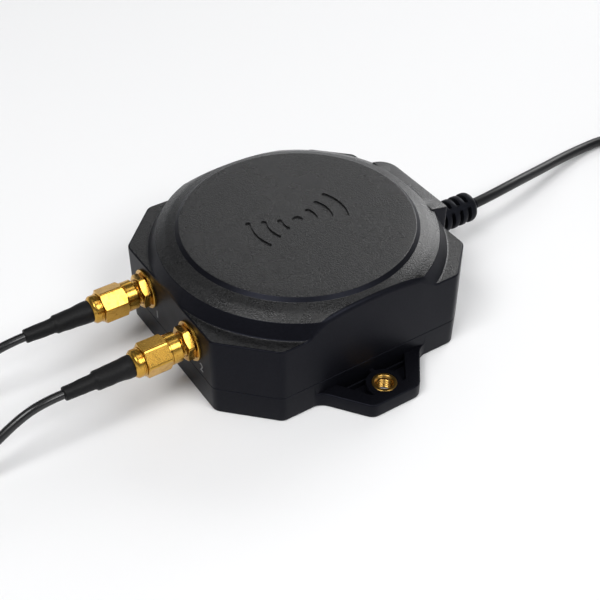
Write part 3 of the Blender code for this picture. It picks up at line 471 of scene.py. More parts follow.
def turned(name, stations, origin, direction, looks, angles=64, bore=True, smooth_angle=35.0,
           look_of=lambda row: 0):
    """A solid round an axis. A station is (radius, distance), or a function of the angle that gives both.

    With a bore, the last station joins the first; without one, both ends close on a face.
    """
    matrix = Matrix.Translation(origin) @ Vector(direction).to_track_quat("Z", "Y").to_matrix().to_4x4()
    turns = angles if isinstance(angles, list) else [2.0 * math.pi * k / angles for k in range(angles)]
    rows = []
    for station in stations:
        row = []
        for turn in turns:
            radius, distance = station(turn) if callable(station) else station
            row.append(matrix @ Vector((radius * math.cos(turn), radius * math.sin(turn), distance)))
        rows.append(row)
    return lofted(name, rows, looks, smooth_angle, bore, look_of)


def rod(name, start, end, radius, look, segments=64):
    start = Vector(start)
    end = Vector(end)
    ends = [(radius, 0.0), (radius, (end - start).length)]
    return turned(name, ends, start, end - start, [look], segments, False)


def post(name, x, y, low, high, radius, look, segments=32):
    return rod(name, (x, y, low), (x, y, high), radius, look, segments)


def combine(obj, tools, operation="DIFFERENCE", smooth_angle=35.0):
    """Cuts the tools from a piece, or joins them to it, and applies the result."""
    for tool in tools:
        step = obj.modifiers.new("step", "BOOLEAN")
        step.operation = operation
        step.solver = "EXACT"
        step.object = tool
    made = bpy.data.meshes.new_from_object(obj.evaluated_get(bpy.context.evaluated_depsgraph_get()))
    obj.modifiers.clear()
    obj.data = made
    for tool in tools:
        bpy.data.objects.remove(tool, do_unlink=True)
    made.shade_smooth()
    made.set_sharp_from_angle(angle=math.radians(smooth_angle))
    return obj


def show(piece, slot, *nodes, body=BODY):
    """Makes a finished piece stand for its CAD nodes and ride on their body."""
    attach(piece, body)
    if nodes:
        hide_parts(*nodes)
    return piece


# ---------------------------------------------------------------- housing

HOUSING = [
    (HALF_X, HALF_X - CHAMFER_REACH),
    (HALF_X, CHAMFER_REACH - HALF_X),
    (CHAMFER_REACH - BACK_Y, BACK_Y),
    (BACK_Y - CHAMFER_REACH, BACK_Y),
    (-HALF_X, CHAMFER_REACH - HALF_X),
    (-HALF_X, HALF_X - CHAMFER_REACH),
    (-CHAMFER_REACH - FRONT_Y, FRONT_Y),
    (CHAMFER_REACH + FRONT_Y, FRONT_Y),
]
HOUSING_RADII = [CORNER_ROUND] * len(HOUSING)
BOSS = [
    (BOSS_HALF_X, BACK_Y - 2.1 * MM),
    (BOSS_HALF_X, BOSS_Y),
    (-BOSS_HALF_X, BOSS_Y),
    (-BOSS_HALF_X, BACK_Y - 2.1 * MM),
]
BOSS_RADII = [0.3 * MM, 0.9 * MM, BOSS_LEFT_ROUND, 0.3 * MM]
DOME = rounded_profile([
    (27.0 * MM, DISC_Z, 0.0),
    (30.4 * MM, DISC_Z, 0.4 * MM),
    (31.5 * MM, 29.0 * MM, 0.4 * MM),
    (34.0 * MM, 28.25 * MM, 8.0 * MM),
    (36.6 * MM, 26.95 * MM, 0.4 * MM),
    (38.7 * MM, PAD_Z, 0.8 * MM),
    (50.0 * MM, PAD_Z, 0.0),
])
STEEP = 0.7  # parts of the dome that fall faster than this look like the walls


def housing_row(inset=0.0):
    return outline_row(HOUSING, HOUSING_RADII, inset)


def edge_size(reach):
    """The fillet on the wall's top edge: wide where the wall cuts the dome, narrow along the pads."""
    return PAD_EDGE + (DOME_EDGE - PAD_EDGE) * ease((38.4 * MM - reach) / (2.4 * MM))


def dome_rows():
    """Rows from the disc outwards, over the wall's top edge and down to the wall."""
    tops = []
    for out, into in zip(housing_row(), housing_row(DOME_EDGE)):
        size = edge_size(out.length)
        tops.append((out, out.lerp(into, size / DOME_EDGE), size))
    rows = []
    for stop in DOME:
        row = []
        for _, top, _ in tops:
            reach = min(stop.x, top.length)
            point = top.normalized() * reach
            row.append((point.x, point.y, stop.y if stop.x < top.length else height_on(DOME, reach)))
        rows.append(row)
    for k in range(1, DOME_EDGE_STEPS + 1):
        t = k / DOME_EDGE_STEPS
        row = []
        for out, top, size in tops:
            corner_z = height_on(DOME, out.length)
            flat = top.lerp(out, 1.0 - (1.0 - t) ** 2)
            z = ((1.0 - t) ** 2 * height_on(DOME, top.length) + 2.0 * t * (1.0 - t) * corner_z
                 + t * t * (corner_z - size))
            row.append((flat.x, flat.y, z))
        rows.append(row)
    return rows


def ceiling_rows():
    """Rows of the inside, from the parting line up and in to the middle."""
    inner = housing_row(WALL)
    rows = [at_height(inner, SPLIT_Z + SEAM)]
    for stop in reversed(DOME):
        row = []
        for point in inner:
            reach = min(max(stop.x - DOME_WALL, 0.0), point.length)
            flat = point.normalized() * reach
            z = stop.y if stop.x - DOME_WALL < point.length else height_on(DOME, reach + DOME_WALL)
            row.append((flat.x, flat.y, z - WALL))
        rows.append(row)
    return rows


def mark_outlines():
    """A plain signal mark: a dot with three arcs on each side of it, along Y."""
    loops = [circle(MARK_DOT_R, 32)]
    for reach in MARK_ARCS:
        for middle in (math.pi / 2.0, -math.pi / 2.0):
            loop = []
            for way in (1, -1):
                for k in range(21):
                    angle = middle - way * MARK_HALF_ANGLE + way * 2.0 * MARK_HALF_ANGLE * k / 20.0
                    radius = reach + way * MARK_STROKE / 2.0
                    loop.append((radius * math.cos(angle), radius * math.sin(angle)))
                loop += mark_end(reach, middle + way * MARK_HALF_ANGLE, way)
            loops.append(loop)
    return loops


def mark_end(reach, angle, way):
    """The round end of a stroke."""
    centre = Vector((reach * math.cos(angle), reach * math.sin(angle)))
    points = []
    for k in range(1, 8):
        turn = angle + (0.0 if way > 0 else math.pi) + math.pi * k / 8.0
        points.append(tuple(centre + Vector((math.cos(turn), math.sin(turn))) * (MARK_STROKE / 2.0)))
    return points


def screw_places():
    return [(sx * SCREW_REACH, sy * SCREW_REACH) for sx in (-1, 1) for sy in (-1, 1)]


def relief_way(look):
    """The cutter that lets the strain relief through the back wall and the boss."""
    return rod("relief_way", (0, BACK_Y - 5.0 * MM, CABLE_Z), (0, BOSS_Y + 2.0 * MM, CABLE_Z),
               RELIEF_R + 0.15 * MM, look)


def make_upper_housing():
    top_look = LOOKS["housing_top"]
    wall_look = LOOKS["housing_wall"]
    low = SPLIT_Z + SEAM
    rows = dome_rows() + [at_height(housing_row(), low + SEAM_EDGE), at_height(housing_row(SEAM_EDGE), low)]
    rows += ceiling_rows()
    steep = [i for i, (first, second) in enumerate(zip(DOME, DOME[1:]))
             if first.y - second.y > STEEP * (second.x - first.x)]
    walls = range(len(DOME) - 1, len(rows) - 1)
    shell = lofted("upper_housing_visual", rows, [top_look, wall_look], 30,
                   look_of=lambda row: 1 if row in steep or row in walls else 0)
    boss = block("boss_top", BOSS, BOSS_RADII, low, BOSS_TOP, SEAM_EDGE, 0.35 * MM, top_look)
    boss.data.materials.append(wall_look)
    for vertex in boss.data.vertices:
        if vertex.co.z > BOSS_TOP - 1.0 * MM:
            vertex.co.z += BOSS_SLOPE * (BOSS_Y - vertex.co.y)
    for face in boss.data.polygons:
        face.material_index = 0 if face.normal.z > 0.5 else 1
    combine(shell, [boss], "UNION")
    combine(shell, [post(f"post_{i}", x, y, low, PAD_Z - WALL / 2.0, SCREW_POST_R, wall_look)
                    for i, (x, y) in enumerate(screw_places())], "UNION")
    cutters = [relief_way(wall_look)]
    for side in (-1, 1):
        cutters.append(rod(f"jack_way_{side}", (side * SMA_X, FRONT_Y - 1.0 * MM, SMA_Z),
                           (side * SMA_X, FRONT_Y + 4.0 * MM, SMA_Z), 3.3 * MM, wall_look))
    for i, (x, y) in enumerate(screw_places()):
        cutters.append(post(f"screw_way_{i}", x, y, 0.0, 16.2 * MM, 1.35 * MM, wall_look, 24))
    for i, outline in enumerate(mark_outlines()):
        cutters.append(prism(f"mark_{i}", outline, DISC_Z - MARK_DEPTH, DISC_Z + 0.4 * MM, top_look))
    combine(shell, cutters, smooth_angle=30)
    show(shell, "housing_plastic", "upper_housing")


def mirrored(points, side):
    """The outline on the other side, still counterclockwise."""
    return list(points) if side > 0 else [(-x, y) for x, y in reversed(points)]


def ear_pocket(side, end):
    """The sunk space between the wall, the rim and the insert's boss, towards one end of the ear."""
    arc = [math.radians(-66.0 - 106.0 * k / 14.0) for k in range(15)]
    loop = [(EAR_INNER_X, -0.62 * MM), (EAR_INNER_X, -10.7 * MM), (41.6 * MM, -5.15 * MM)]
    loop += [(INSERT_X + EAR_BOSS_R * math.cos(a), EAR_BOSS_R * math.sin(a)) for a in arc]
    if end > 0:
        loop = [(x, -y) for x, y in reversed(loop)]
    return mirrored(loop, side)


def make_ear(side, look):
    half = in_mm((32.6, -22.0), (33.9, -22.0), (33.9, -15.5)) + [(EAR_X, -7.0 * MM)]
    corners = mirrored(half + [(x, -y) for x, y in reversed(half)], side)
    radii = [0.2 * MM, 0.2 * MM, -5.0 * MM, 3.2 * MM]
    ear = block(f"ear_{side}", corners, radii + radii[::-1], 0.0, EAR_Z, 0.5 * MM, 0.4 * MM, look)
    cutters = [prism(f"pocket_{side}_{end}", ear_pocket(side, end), POCKET_Z, EAR_Z, look, 0.12 * MM)
               for end in (-1, 1)]
    cutters.append(post(f"insert_way_{side}", side * INSERT_X, 0, -1.0 * MM, 6.0 * MM, INSERT_R + 0.02 * MM,
                        look, 64))
    combine(ear, cutters)
    for end, near, far in ((-1, -9.7 * MM, -1.5 * MM), (1, 1.5 * MM, 9.7 * MM)):
        corners = mirrored(rectangle(35.0 * MM, 35.5 * MM, near, far), side)
        rib = block(f"rib_{side}_{end}", corners, [0.12 * MM] * 4, POCKET_Z - 0.5 * MM, 3.2 * MM, 0.05 * MM,
                    0.12 * MM, look, spacing=3.0 * MM, arc_steps=2)
        combine(ear, [rib], "UNION")
    return ear


def make_base_shell():
    look = LOOKS["base_wall"]
    top = SPLIT_Z - SEAM
    rows = list(reversed(fillet_rows(HOUSING, HOUSING_RADII, -FOOT_ROUND, 0.0)))
    rows += [at_height(housing_row(inset), z) for inset, z in (
        (0.0, top - SEAM_EDGE), (SEAM_EDGE, top), (WALL, top), (WALL, WALL))]
    shell = lofted("base_shell_visual", rows, [look], 30)
    tools = [block("boss_foot", BOSS, BOSS_RADII, 0.0, top, FOOT_ROUND * 0.98, SEAM_EDGE, look)]
    tools += [make_ear(side, look) for side in (-1, 1)]
    tools += [post(f"base_post_{i}", x, y, WALL / 2.0, top - 0.02 * MM, SCREW_POST_R, look)
              for i, (x, y) in enumerate(screw_places())]
    tools += [post(f"standoff_{x}_{y}", x * STANDOFF_X, y * STANDOFF_Y, WALL / 2.0, 4.4 * MM, 2.6 * MM, look)
              for x in (-1, 1) for y in (-1, 1)]
    combine(shell, tools, "UNION")
    cutters = [relief_way(look)]
    well = in_mm((2.95, -1.0), (2.95, 0.0), (2.7, 0.25), (2.7, 2.6), (1.5, 2.6)) + [(1.5 * MM, top + MM)]
    for i, (x, y) in enumerate(screw_places()):
        cutters.append(turned(f"well_{i}", well, (x, y, 0), (0, 0, 1), [look], 32, False))
    combine(shell, cutters, smooth_angle=30)
    show(shell, "base_plastic", "base_shell")


# ---------------------------------------------------------------- fasteners

def screw_thread(radius, depth, pitch, start, end, rows_per_pitch):
    """Stations of a screwed surface: a V groove that climbs one pitch each turn and fades at its ends."""
    count = max(2, round((end - start) / pitch * rows_per_pitch))
    stations = []
    for k in range(count + 1):
        distance = start + (end - start) * k / count
        fade = min(1.0, (distance - start) / pitch * 2.0, (end - distance) / pitch * 2.0)

        def station(turn, distance=distance, fade=fade):
            phase = (distance / pitch - turn / (2.0 * math.pi)) % 1.0
            return radius - depth * fade * (1.0 - abs(2.0 * phase - 1.0)), distance
        stations.append(station)
    return stations


def make_inserts():
    """Brass inserts with an M4 thread, their rims flush with the ears, and shade painted into the thread's
    grooves.
    """
    top = EAR_Z + 0.06 * MM
    foot = 0.2 * MM
    stations = [
        (INSERT_R, foot),
        (INSERT_R, top - 0.12 * MM),
        (INSERT_R - 0.12 * MM, top),
        (2.5 * MM, top),
        (2.1 * MM, top - 0.38 * MM),
    ]
    stations += reversed(screw_thread(INSERT_BORE, 0.4 * MM, 0.7 * MM, 0.4 * MM, top - 0.42 * MM, 10))
    stations.append((2.2 * MM, foot))
    for side, name in ((1, "mount_insert_right"), (-1, "mount_insert_left")):
        x = side * INSERT_X
        piece = turned(name + "_visual", stations, (x, 0, 0), (0, 0, 1),
                       [LOOKS["brass"], LOOKS["painted_thread_shade"]], smooth_angle=30)
        # Faces deep in the thread's grooves take the near-black look: painted shade.
        for face in piece.data.polygons:
            reach = math.hypot(face.center.x - x, face.center.y)
            if INSERT_CREST < reach < INSERT_BORE + 0.01 * MM and 0.4 * MM < face.center.z < 3.9 * MM:
                face.material_index = 1
        show(piece, "insert_brass", name)


def make_housing_screws():
    """Flanged pan heads with a six-sided socket, seen from below."""
    look = LOOKS["steel"]
    stations = [
        (0.3 * MM, 15.5 * MM),
        (1.15 * MM, 14.4 * MM),
        (1.15 * MM, SCREW_SEAT),
        (2.3 * MM, SCREW_SEAT),
        (2.35 * MM, SCREW_SEAT - 0.35 * MM),
        (2.2 * MM, SCREW_SEAT - 0.9 * MM),
        (1.8 * MM, SCREW_LOW + 0.12 * MM),
        (1.4 * MM, SCREW_LOW),
        (0.3 * MM, SCREW_LOW),
    ]
    for i, (x, y) in enumerate(screw_places(), 1):
        screw = turned(f"housing_screw_{i}_visual", stations, (x, y, 0), (0, 0, 1), [look], 48, False)
        combine(screw, [post("socket", x, y, SCREW_LOW - MM, SCREW_LOW + 0.9 * MM, 1.05 * MM, look, 6)])
        show(screw, "screw_steel", f"housing_screw_{i}")


# ---------------------------------------------------------------- antenna connections

def hex_angles(turn):
    """Angles that meet the six corners, with a close pair beside each corner for its worn edge."""
    angles = []
    for side in range(6):
        corner = turn + side * math.pi / 3.0
        for step in (-1.6, 0.0, 1.6, 6.0, 12.0, 18.0, 24.0, 30.0, 36.0, 42.0, 48.0, 54.0):
            angles.append(corner + math.radians(step))
    return angles


def hex_radius(turn, across, base):
    swing = (turn - base + math.pi / 6.0) % (math.pi / 3.0) - math.pi / 6.0
    flat = across / 2.0 / math.cos(math.pi / 6.0 - abs(swing))
    return min(flat, across / math.sqrt(3.0) * HEX_WORN)


def hex_end(across, base, distance, way, rim):
    """Stations of a hexagon's end: its flat face's edge, then the chamfer that meets the six sides."""
    def crease(turn):
        radius = hex_radius(turn, across, base)
        return radius, distance - way * max(radius - rim, 0.0) * HEX_SLOPE

    def beyond(turn):
        radius, place = crease(turn)
        return radius, place - way * 0.06 * MM
    return [(rim, distance), crease, beyond]


def hexagon(across, base, near, far, near_rim, far_rim):
    """Stations of a hexagon between two distances; each rim is a share of the distance to its flats."""
    stations = hex_end(across, base, near, -1, across / 2.0 * near_rim)
    return stations + hex_end(across, base, far, 1, across / 2.0 * far_rim)[::-1]


def connector_part(kind, side, number, stations, angles=72, bore=True, smooth_angle=35.0, look="gold",
                   slot="gold_plate", body=BODY):
    """A part of one antenna connection, turned round its axis."""
    part = turned(f"{kind}_{number}_visual", stations, (side * SMA_X, FRONT_Y, SMA_Z), (0, -1, 0),
                  [LOOKS[look]], angles, bore, smooth_angle)
    return show(part, slot, f"{kind}_{number}", body=body)


def make_wall_hardware(side, number):
    """The washer and the hexagonal jam nut on the wall."""
    washer = [
        (3.2 * MM, 0.03 * MM), (WASHER_R - 0.1 * MM, 0.03 * MM), (WASHER_R, 0.13 * MM), (WASHER_R, 0.62 * MM),
        (WASHER_R - 0.12 * MM, 0.74 * MM), (3.3 * MM, 0.74 * MM), (3.2 * MM, 0.64 * MM),
    ]
    connector_part("sma_washer", side, number, washer)
    base = 0.3
    nut = in_mm((3.15, 0.80)) + hexagon(HEX_ACROSS, base, 0.80 * MM, 2.9 * MM, 0.99, 0.97)
    nut += in_mm((3.45, 2.9), (3.15, 2.65))
    connector_part("sma_jam_nut", side, number, nut, hex_angles(base))


def make_jack(side, number):
    """The threaded barrel through the wall, with its flange and its shell inside."""
    inside = -WALL - 0.3 * MM
    flange = -WALL - 1.9 * MM
    end = -WALL - 4.3 * MM
    stations = in_mm((2.3, 9.6), (2.75, 9.6))
    stations += reversed(screw_thread(3.12 * MM, 0.34 * MM, SMA_PITCH, -1.2 * MM, 9.3 * MM, 8))
    stations += [
        (THREAD_R, inside), (4.6 * MM, inside), (4.6 * MM, flange), (2.9 * MM, flange), (2.9 * MM, end),
        (2.2 * MM, end), (2.2 * MM, 6.0 * MM), (2.3 * MM, 6.1 * MM),
    ]
    connector_part("sma_jack", side, number, stations, 56, smooth_angle=50)


def make_coupling_nut(side, number, base):
    """Collar, groove and chamfered hexagon, outside first, then the bore back to the collar's mouth."""
    groove_r = COLLAR_R - 0.16 * MM
    stations = [
        (3.42 * MM, COLLAR_START + 0.2 * MM),
        (3.62 * MM, COLLAR_START),
        (COLLAR_R - 0.14 * MM, COLLAR_START),
        (COLLAR_R, COLLAR_START + 0.14 * MM),
        (COLLAR_R, HEX_START - 0.42 * MM),
        (groove_r, HEX_START - 0.30 * MM),
        (groove_r, HEX_START),
    ]
    stations += hexagon(HEX_ACROSS, base, HEX_START, HEX_END, 0.985, 0.955)
    stations += [
        (3.05 * MM, HEX_END),
        (2.95 * MM, HEX_END - 0.12 * MM),
        (2.95 * MM, HEX_END - 1.7 * MM),
        (3.42 * MM, HEX_END - 1.7 * MM),
    ]
    connector_part("coupling_nut", side, number, stations, hex_angles(base), body=f"coupling_nut_{number}")


def make_plug_body(side, number):
    stations = in_mm(
        (0.4, 6.4), (2.1, 6.4), (2.1, 9.8), (3.1, 9.8), (3.1, 11.5), (2.7, 11.5), (2.7, 13.62), (3.68, 13.62),
        (3.76, 13.70), (3.76, 13.86), (3.50, 13.98), (3.48, 14.22), (3.60, 14.36), (3.60, 15.36),
        (3.52, 15.52), (3.10, 15.98), (2.95, 16.10), (2.55, 16.15), (1.6, 16.2), (1.6, 23.0), (0.4, 23.0),
    )
    connector_part("plug_body", side, number, stations, bore=False)


def shrink_station(radius, distance, seed):
    """Shrunk sleeve: its wall swells and dips a little round the parts under it."""
    along = distance / MM

    def station(turn):
        swell = (0.035 * math.sin(2.0 * turn + seed + 0.5 * along)
                 + 0.025 * math.sin(3.0 * turn - seed * 2.0 + 0.9 * along)
                 + 0.020 * math.sin(1.7 * along + seed))
        return radius * (1.0 + swell * 0.6), distance
    return station


def make_heat_shrink(side, number):
    """Two sleeves shrunk one over the other: the wide one over the ferrule, the narrow one over the lead."""
    outside = in_mm(
        (2.50, 15.95), (2.78, 16.05), (2.86, 16.5), (2.82, 17.6), (2.70, 19.0), (2.62, 20.6), (2.58, 22.2),
        (2.50, 23.6), (2.44, 24.6), (2.42, 25.2), (2.32, 25.6), (2.04, 25.85), (1.92, 26.3), (1.90, 27.6),
        (1.88, 29.0), (1.84, 30.6), (1.80, 32.0), (1.78, 33.1), (1.68, 33.4),
    )
    stations = [shrink_station(radius, distance, 1.3 * number) for radius, distance in outside]
    stations += in_mm((1.45, 33.5), (1.20, 33.5), (1.2, 24.0), (1.7, 23.2), (1.7, 16.3))
    return connector_part("heat_shrink", side, number, stations, 48, smooth_angle=50, look="heat_shrink",
                          slot="heat_shrink")


def make_port_mark(side, number):
    """A plain numeral below each antenna connection."""
    data = bpy.data.curves.new(f"port_mark_{number}", "FONT")
    data.body = str(number)
    data.size = PORT_MARK_SIZE
    data.extrude = 0.06 * MM
    data.align_x = "CENTER"
    data.align_y = "CENTER"
    text = new_object(f"port_text_{number}", data)
    text.location = (side * SMA_X + 4.6 * MM, FRONT_Y - 0.03 * MM, 10.6 * MM)
    text.rotation_euler = (math.pi / 2.0, 0.0, 0.0)
    bpy.context.view_layer.update()
    mesh = bpy.data.meshes.new_from_object(text.evaluated_get(bpy.context.evaluated_depsgraph_get()))
    mesh.transform(text.matrix_world)
    bpy.data.objects.remove(text, do_unlink=True)
    shape = bmesh.new()
    shape.from_mesh(mesh)
    show(solid(f"port_mark_{number}", shape, [LOOKS["print"]], weld=0.001 * MM), "housing_plastic")


# ---------------------------------------------------------------- ends of the leads and of the cable

def make_lead_end(number, centre, heading):
    """The plug on a lead's far end: sleeve, ferrule, hexagon and collar, with its pin inside."""
    reach, height = LEAD.end
    origin = (centre[0], centre[1] - reach, height)
    direction = (heading * math.cos(0.2), -math.sin(0.2), 0.0)
    base = 0.1
    sleeve = in_mm((1.2, 0.0), (1.65, 0.0), (1.8, 0.2), (1.75, 3.0), (1.9, 6.5))
    shell = in_mm(
        (2.5, 7.8), (3.0, 8.1), (3.2, 8.35), (3.2, 9.3), (3.35, 9.4), (3.55, 9.55), (3.55, 10.1), (3.4, 10.25),
        (3.0, 10.3), (3.0, 10.55),
    )
    shell += hexagon(LEAD_HEX_ACROSS, base, 10.6 * MM, 16.2 * MM, 0.955, 0.985)
    shell += in_mm(
        (3.6, 16.2), (3.6, 16.5), (3.78, 16.6), (3.78, 19.45), (3.65, 19.6), (3.45, 19.6), (3.2, 19.35),
        (3.2, 13.2), (2.1, 13.2), (2.1, 15.4),
    )
    insulator = in_mm((1.9, 15.4))
    pin = in_mm((0.5, 15.4), (0.5, 17.6), (0.3, 17.9))
    looks = [LOOKS["gold"], LOOKS["heat_shrink"], LOOKS["dielectric"]]
    slots = [1] * len(sleeve) + [0] * len(shell) + [2] + [0] * len(pin)
    plug = turned(f"lead_end_connector_{number}_visual", sleeve + shell + insulator + pin, origin, direction,
                  looks, hex_angles(base), False, look_of=lambda row: slots[row])
    return show(plug, "gold_plate", f"lead_end_connector_{number}")


def make_usb_plug():
    """Moulded boot with grip ridges, a folded steel shell with its two windows, and the tongue inside."""
    low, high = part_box("usb_plug_body")
    y = (low.y + high.y) / 2.0
    z = (low.z + high.z) / 2.0
    neck_start = high.x
    boot_end = low.x
    half_w = (high.y - low.y) / 2.0
    half_h = (high.z - low.z) / 2.0
    boot_start = boot_end + 26.0 * MM

    def section(x, wide, tall, power):
        return [(x, y + a, z + b) for a, b in squircle(wide, tall, power)]

    def neck(x, radius):
        return section(x, radius * MM, radius * MM, 2.0)

    def boot(x, side_in, top_in, power=5.0):
        return section(x, half_w - side_in * MM, half_h - top_in * MM, power)
    rows = [neck(neck_start, 2.2), neck(neck_start - 0.4 * MM, 2.5)]
    for k in range(5):
        at = neck_start - (1.2 * MM + k * (neck_start - boot_start - 2.4 * MM) / 5.0)
        rows += [neck(at - shift * MM, radius)
                 for shift, radius in ((0.0, 2.6), (0.9, 2.6), (1.0, 2.0), (1.6, 2.0))]
    rows += [
        section(boot_start, 3.2 * MM, 2.8 * MM, 2.3),
        boot(boot_start - 1.0 * MM, 1.6, 0.7, 3.2),
        boot(boot_start - 2.4 * MM, 0.3, 0.1, 4.5),
        boot(boot_start - 3.6 * MM, 0.0, 0.0),
    ]
    for k in range(6):
        at = boot_start - (6.0 + 2.2 * k) * MM
        rows += [boot(at - shift * MM, dip, dip * 0.3)
                 for shift, dip in ((0.0, 0.0), (0.25, 0.35), (0.85, 0.35), (1.1, 0.0))]
    rows += [boot(boot_end + x * MM, side_in, top_in)
             for x, side_in, top_in in ((1.0, 0.0, 0.0), (0.3, 0.25, 0.2), (0.0, 0.8, 0.7))]
    body = lofted("usb_plug_body_visual", rows, [LOOKS["relief"]], 40)
    pieces = [show(body, "relief_rubber", "usb_plug_body")]

    low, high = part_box("usb_plug_shell")
    half_w = (high.y - low.y) / 2.0
    half_h = (high.z - low.z) / 2.0
    rows = [section(x, half_w - inset * MM, half_h - inset * MM, 12.0) for x, inset in (
        (high.x, 0.0), (low.x + 0.3 * MM, 0.0), (low.x, 0.12), (low.x, 0.3), (high.x, 0.3))]
    shell = lofted("usb_plug_shell_visual", rows, [LOOKS["steel"]], 30, ring=True)
    windows = []
    for side in (-1, 1):
        middle = y + side * 2.9 * MM
        corners = rectangle(low.x + 5.0 * MM, low.x + 7.4 * MM, middle - 1.2 * MM, middle + 1.2 * MM)
        windows.append(block(f"window_{side}", corners, [0.25 * MM] * 4, z + 1.0 * MM, z + 4.0 * MM, 0.01 * MM,
                             0.01 * MM, LOOKS["steel"], spacing=3.0 * MM, arc_steps=3))
    combine(shell, windows)
    pieces.append(show(shell, "plug_steel", "usb_plug_shell"))

    low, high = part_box("usb_plug_tongue")
    for k in range(4):
        middle = y + (k - 1.5) * 2.4 * MM
        corners = rectangle(low.x + 1.2 * MM, high.x - 1.0 * MM, middle - 0.55 * MM, middle + 0.55 * MM)
        contact = block(f"usb_contact_{k + 1}", corners, [0.15 * MM] * 4, high.z - 0.05 * MM,
                        high.z + 0.12 * MM, 0.01 * MM, 0.05 * MM, LOOKS["gold"], spacing=4.0 * MM, arc_steps=2)
        pieces.append(show(contact, "gold_plate"))
    return pieces


def make_strain_relief():
    """A straight sleeve with slots cut into both of its sides, where the real one bends with the cable."""
    end = RELIEF_END_Y - RELIEF_COLLAR - RELIEF_START_Y
    half = RELIEF_SLOT / 2.0

    def slotted(distance, depth):
        def station(turn):
            open_side = ease((abs(math.cos(turn - RELIEF_TURN)) - 0.12) / 0.28)
            return RELIEF_R - depth * MM * open_side, distance
        return station
    stations = in_mm((1.65, 0.0), (5.2, 0.0), (5.2, 1.7)) + [(RELIEF_R, 1.7 * MM)]
    for k in range(RELIEF_SLOTS):
        middle = end - 3.3 * MM - (RELIEF_SLOTS - 1 - k) * RELIEF_PITCH
        for shift, depth in ((-0.35, 0.0), (-0.08, 0.10), (0.0, 0.30), (0.03, 1.35)):
            stations.append(slotted(middle - half + shift * MM, depth))
        for shift, depth in ((-0.03, 1.35), (0.0, 0.30), (0.08, 0.10), (0.35, 0.0)):
            stations.append(slotted(middle + half + shift * MM, depth))
    for k in range(9):
        turn = math.pi / 2.0 * k / 8.0
        stations.append((RELIEF_R - RELIEF_NOSE * (1.0 - math.cos(turn)),
                         end - RELIEF_NOSE + RELIEF_NOSE * math.sin(turn)))
    stations += [
        (1.95 * MM, end),
        (1.85 * MM, end + 0.25 * MM),
        (1.80 * MM, end + RELIEF_COLLAR),
        (1.65 * MM, end + RELIEF_COLLAR),
    ]
    relief = turned("strain_relief_visual", stations, (0, RELIEF_START_Y, CABLE_Z), (0, 1, 0),
                    [LOOKS["relief"]], 80, smooth_angle=40)
    return show(relief, "relief_rubber", "strain_relief")


def make_ties(name, wire, centre, angles):
    """Straps round a coil, each with its lock on the outer side."""
    pitch = 2.0 * wire.radius + TURN_CLEARANCE
    half = wire.columns * pitch / 2.0 + 0.25 * MM
    low = 0.30 * MM
    high = COIL_LIFT + wire.rows * pitch + 0.10 * MM
    made = []
    for i, angle in enumerate(angles, 1):
        out = Vector((math.cos(angle), math.sin(angle), 0.0))
        along = Vector((-math.sin(angle), math.cos(angle), 0.0))
        base = Vector((centre[0], centre[1], 0.0)) + out * wire.coil_radius

        def loop(grow, shift):
            points = squircle(half + grow, (high - low) / 2.0 + grow, 7.0)
            return [base + out * a + Vector((0, 0, (low + high) / 2.0 + b)) + along * shift for a, b in points]
        width = TIE_HALF_WIDTH
        strap = lofted(f"{name}_tie_{i}", [
            loop(0.0, -width), loop(0.18 * MM, -width), loop(0.24 * MM, -width + 0.08 * MM),
            loop(0.24 * MM, width - 0.08 * MM), loop(0.18 * MM, width), loop(0.0, width),
        ], [LOOKS["tie"]], ring=True)
        corners = rectangle(-1.1 * MM, 1.1 * MM, -1.9 * MM, 1.9 * MM)
        lock = block(f"{name}_lock_{i}", corners, [0.4 * MM] * 4, high - 5.0 * MM, high - 1.6 * MM, 0.4 * MM,
                     0.4 * MM, LOOKS["tie"], spacing=3.0 * MM, arc_steps=3)
        place = base + out * (half + 0.9 * MM)
        lock.data.transform(Matrix.Translation((place.x, place.y, 0.0)) @ Matrix.Rotation(angle, 4, "Z"))
        combine(strap, [lock], "UNION")
        made.append(show(strap, "cable_jacket"))
    return made


# ---------------------------------------------------------------- pieces that keep their CAD shape

PAINT = {
    "seal": ["housing_gasket"],
    "steel": ["board_screw_1", "board_screw_2", "board_screw_3", "board_screw_4", "backup_cell",
              "bulk_capacitor_1", "bulk_capacitor_2", "module_shield", "reference_oscillator"],
    "board": ["main_board", "gnss_module"],
    "chip": ["processor_chip", "motion_sensor_chip", "flash_chip", "power_inductor"],
    "header": ["board_connector", "cable_plug"],
    "dielectric": ["sma_insulator_1", "sma_insulator_2", "usb_plug_tongue", "data_wire_b"],
    "gold": ["sma_contact_1", "sma_contact_2"],
    "cable_jacket": ["inner_coax_1", "inner_coax_2", "ground_wire"],
    "wire_red": ["power_wire"],
    "wire_green": ["data_wire_a"],
}


def paint_frame():
    for look, nodes in PAINT.items():
        for node in nodes:
            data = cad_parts[node].data
            data.materials.clear()
            data.materials.append(LOOKS[look])


# ---------------------------------------------------------------- camera, floor and light

def add_camera():
    data = bpy.data.cameras.new("camera")
    data.lens = CAMERA_LENS
    data.sensor_width = 36.0
    data.clip_start = 0.01
    data.clip_end = 20.0
    camera = new_object("camera", data)
    camera.location = CAMERA_PLACE
    toward = Vector(CAMERA_TARGET) - Vector(CAMERA_PLACE)
    camera.rotation_euler = toward.to_track_quat("-Z", "Y").to_euler()
    bpy.context.scene.camera = camera


def add_floor():
    shape = bmesh.new()
    shape.faces.new([shape.verts.new(point) for point in at_height(circle(FLOOR_R, 96), 0.0)])
    look = new_look("floor_look", (0.86, 0.86, 0.865), 0.9)[0]
    solid("floor", shape, [look])


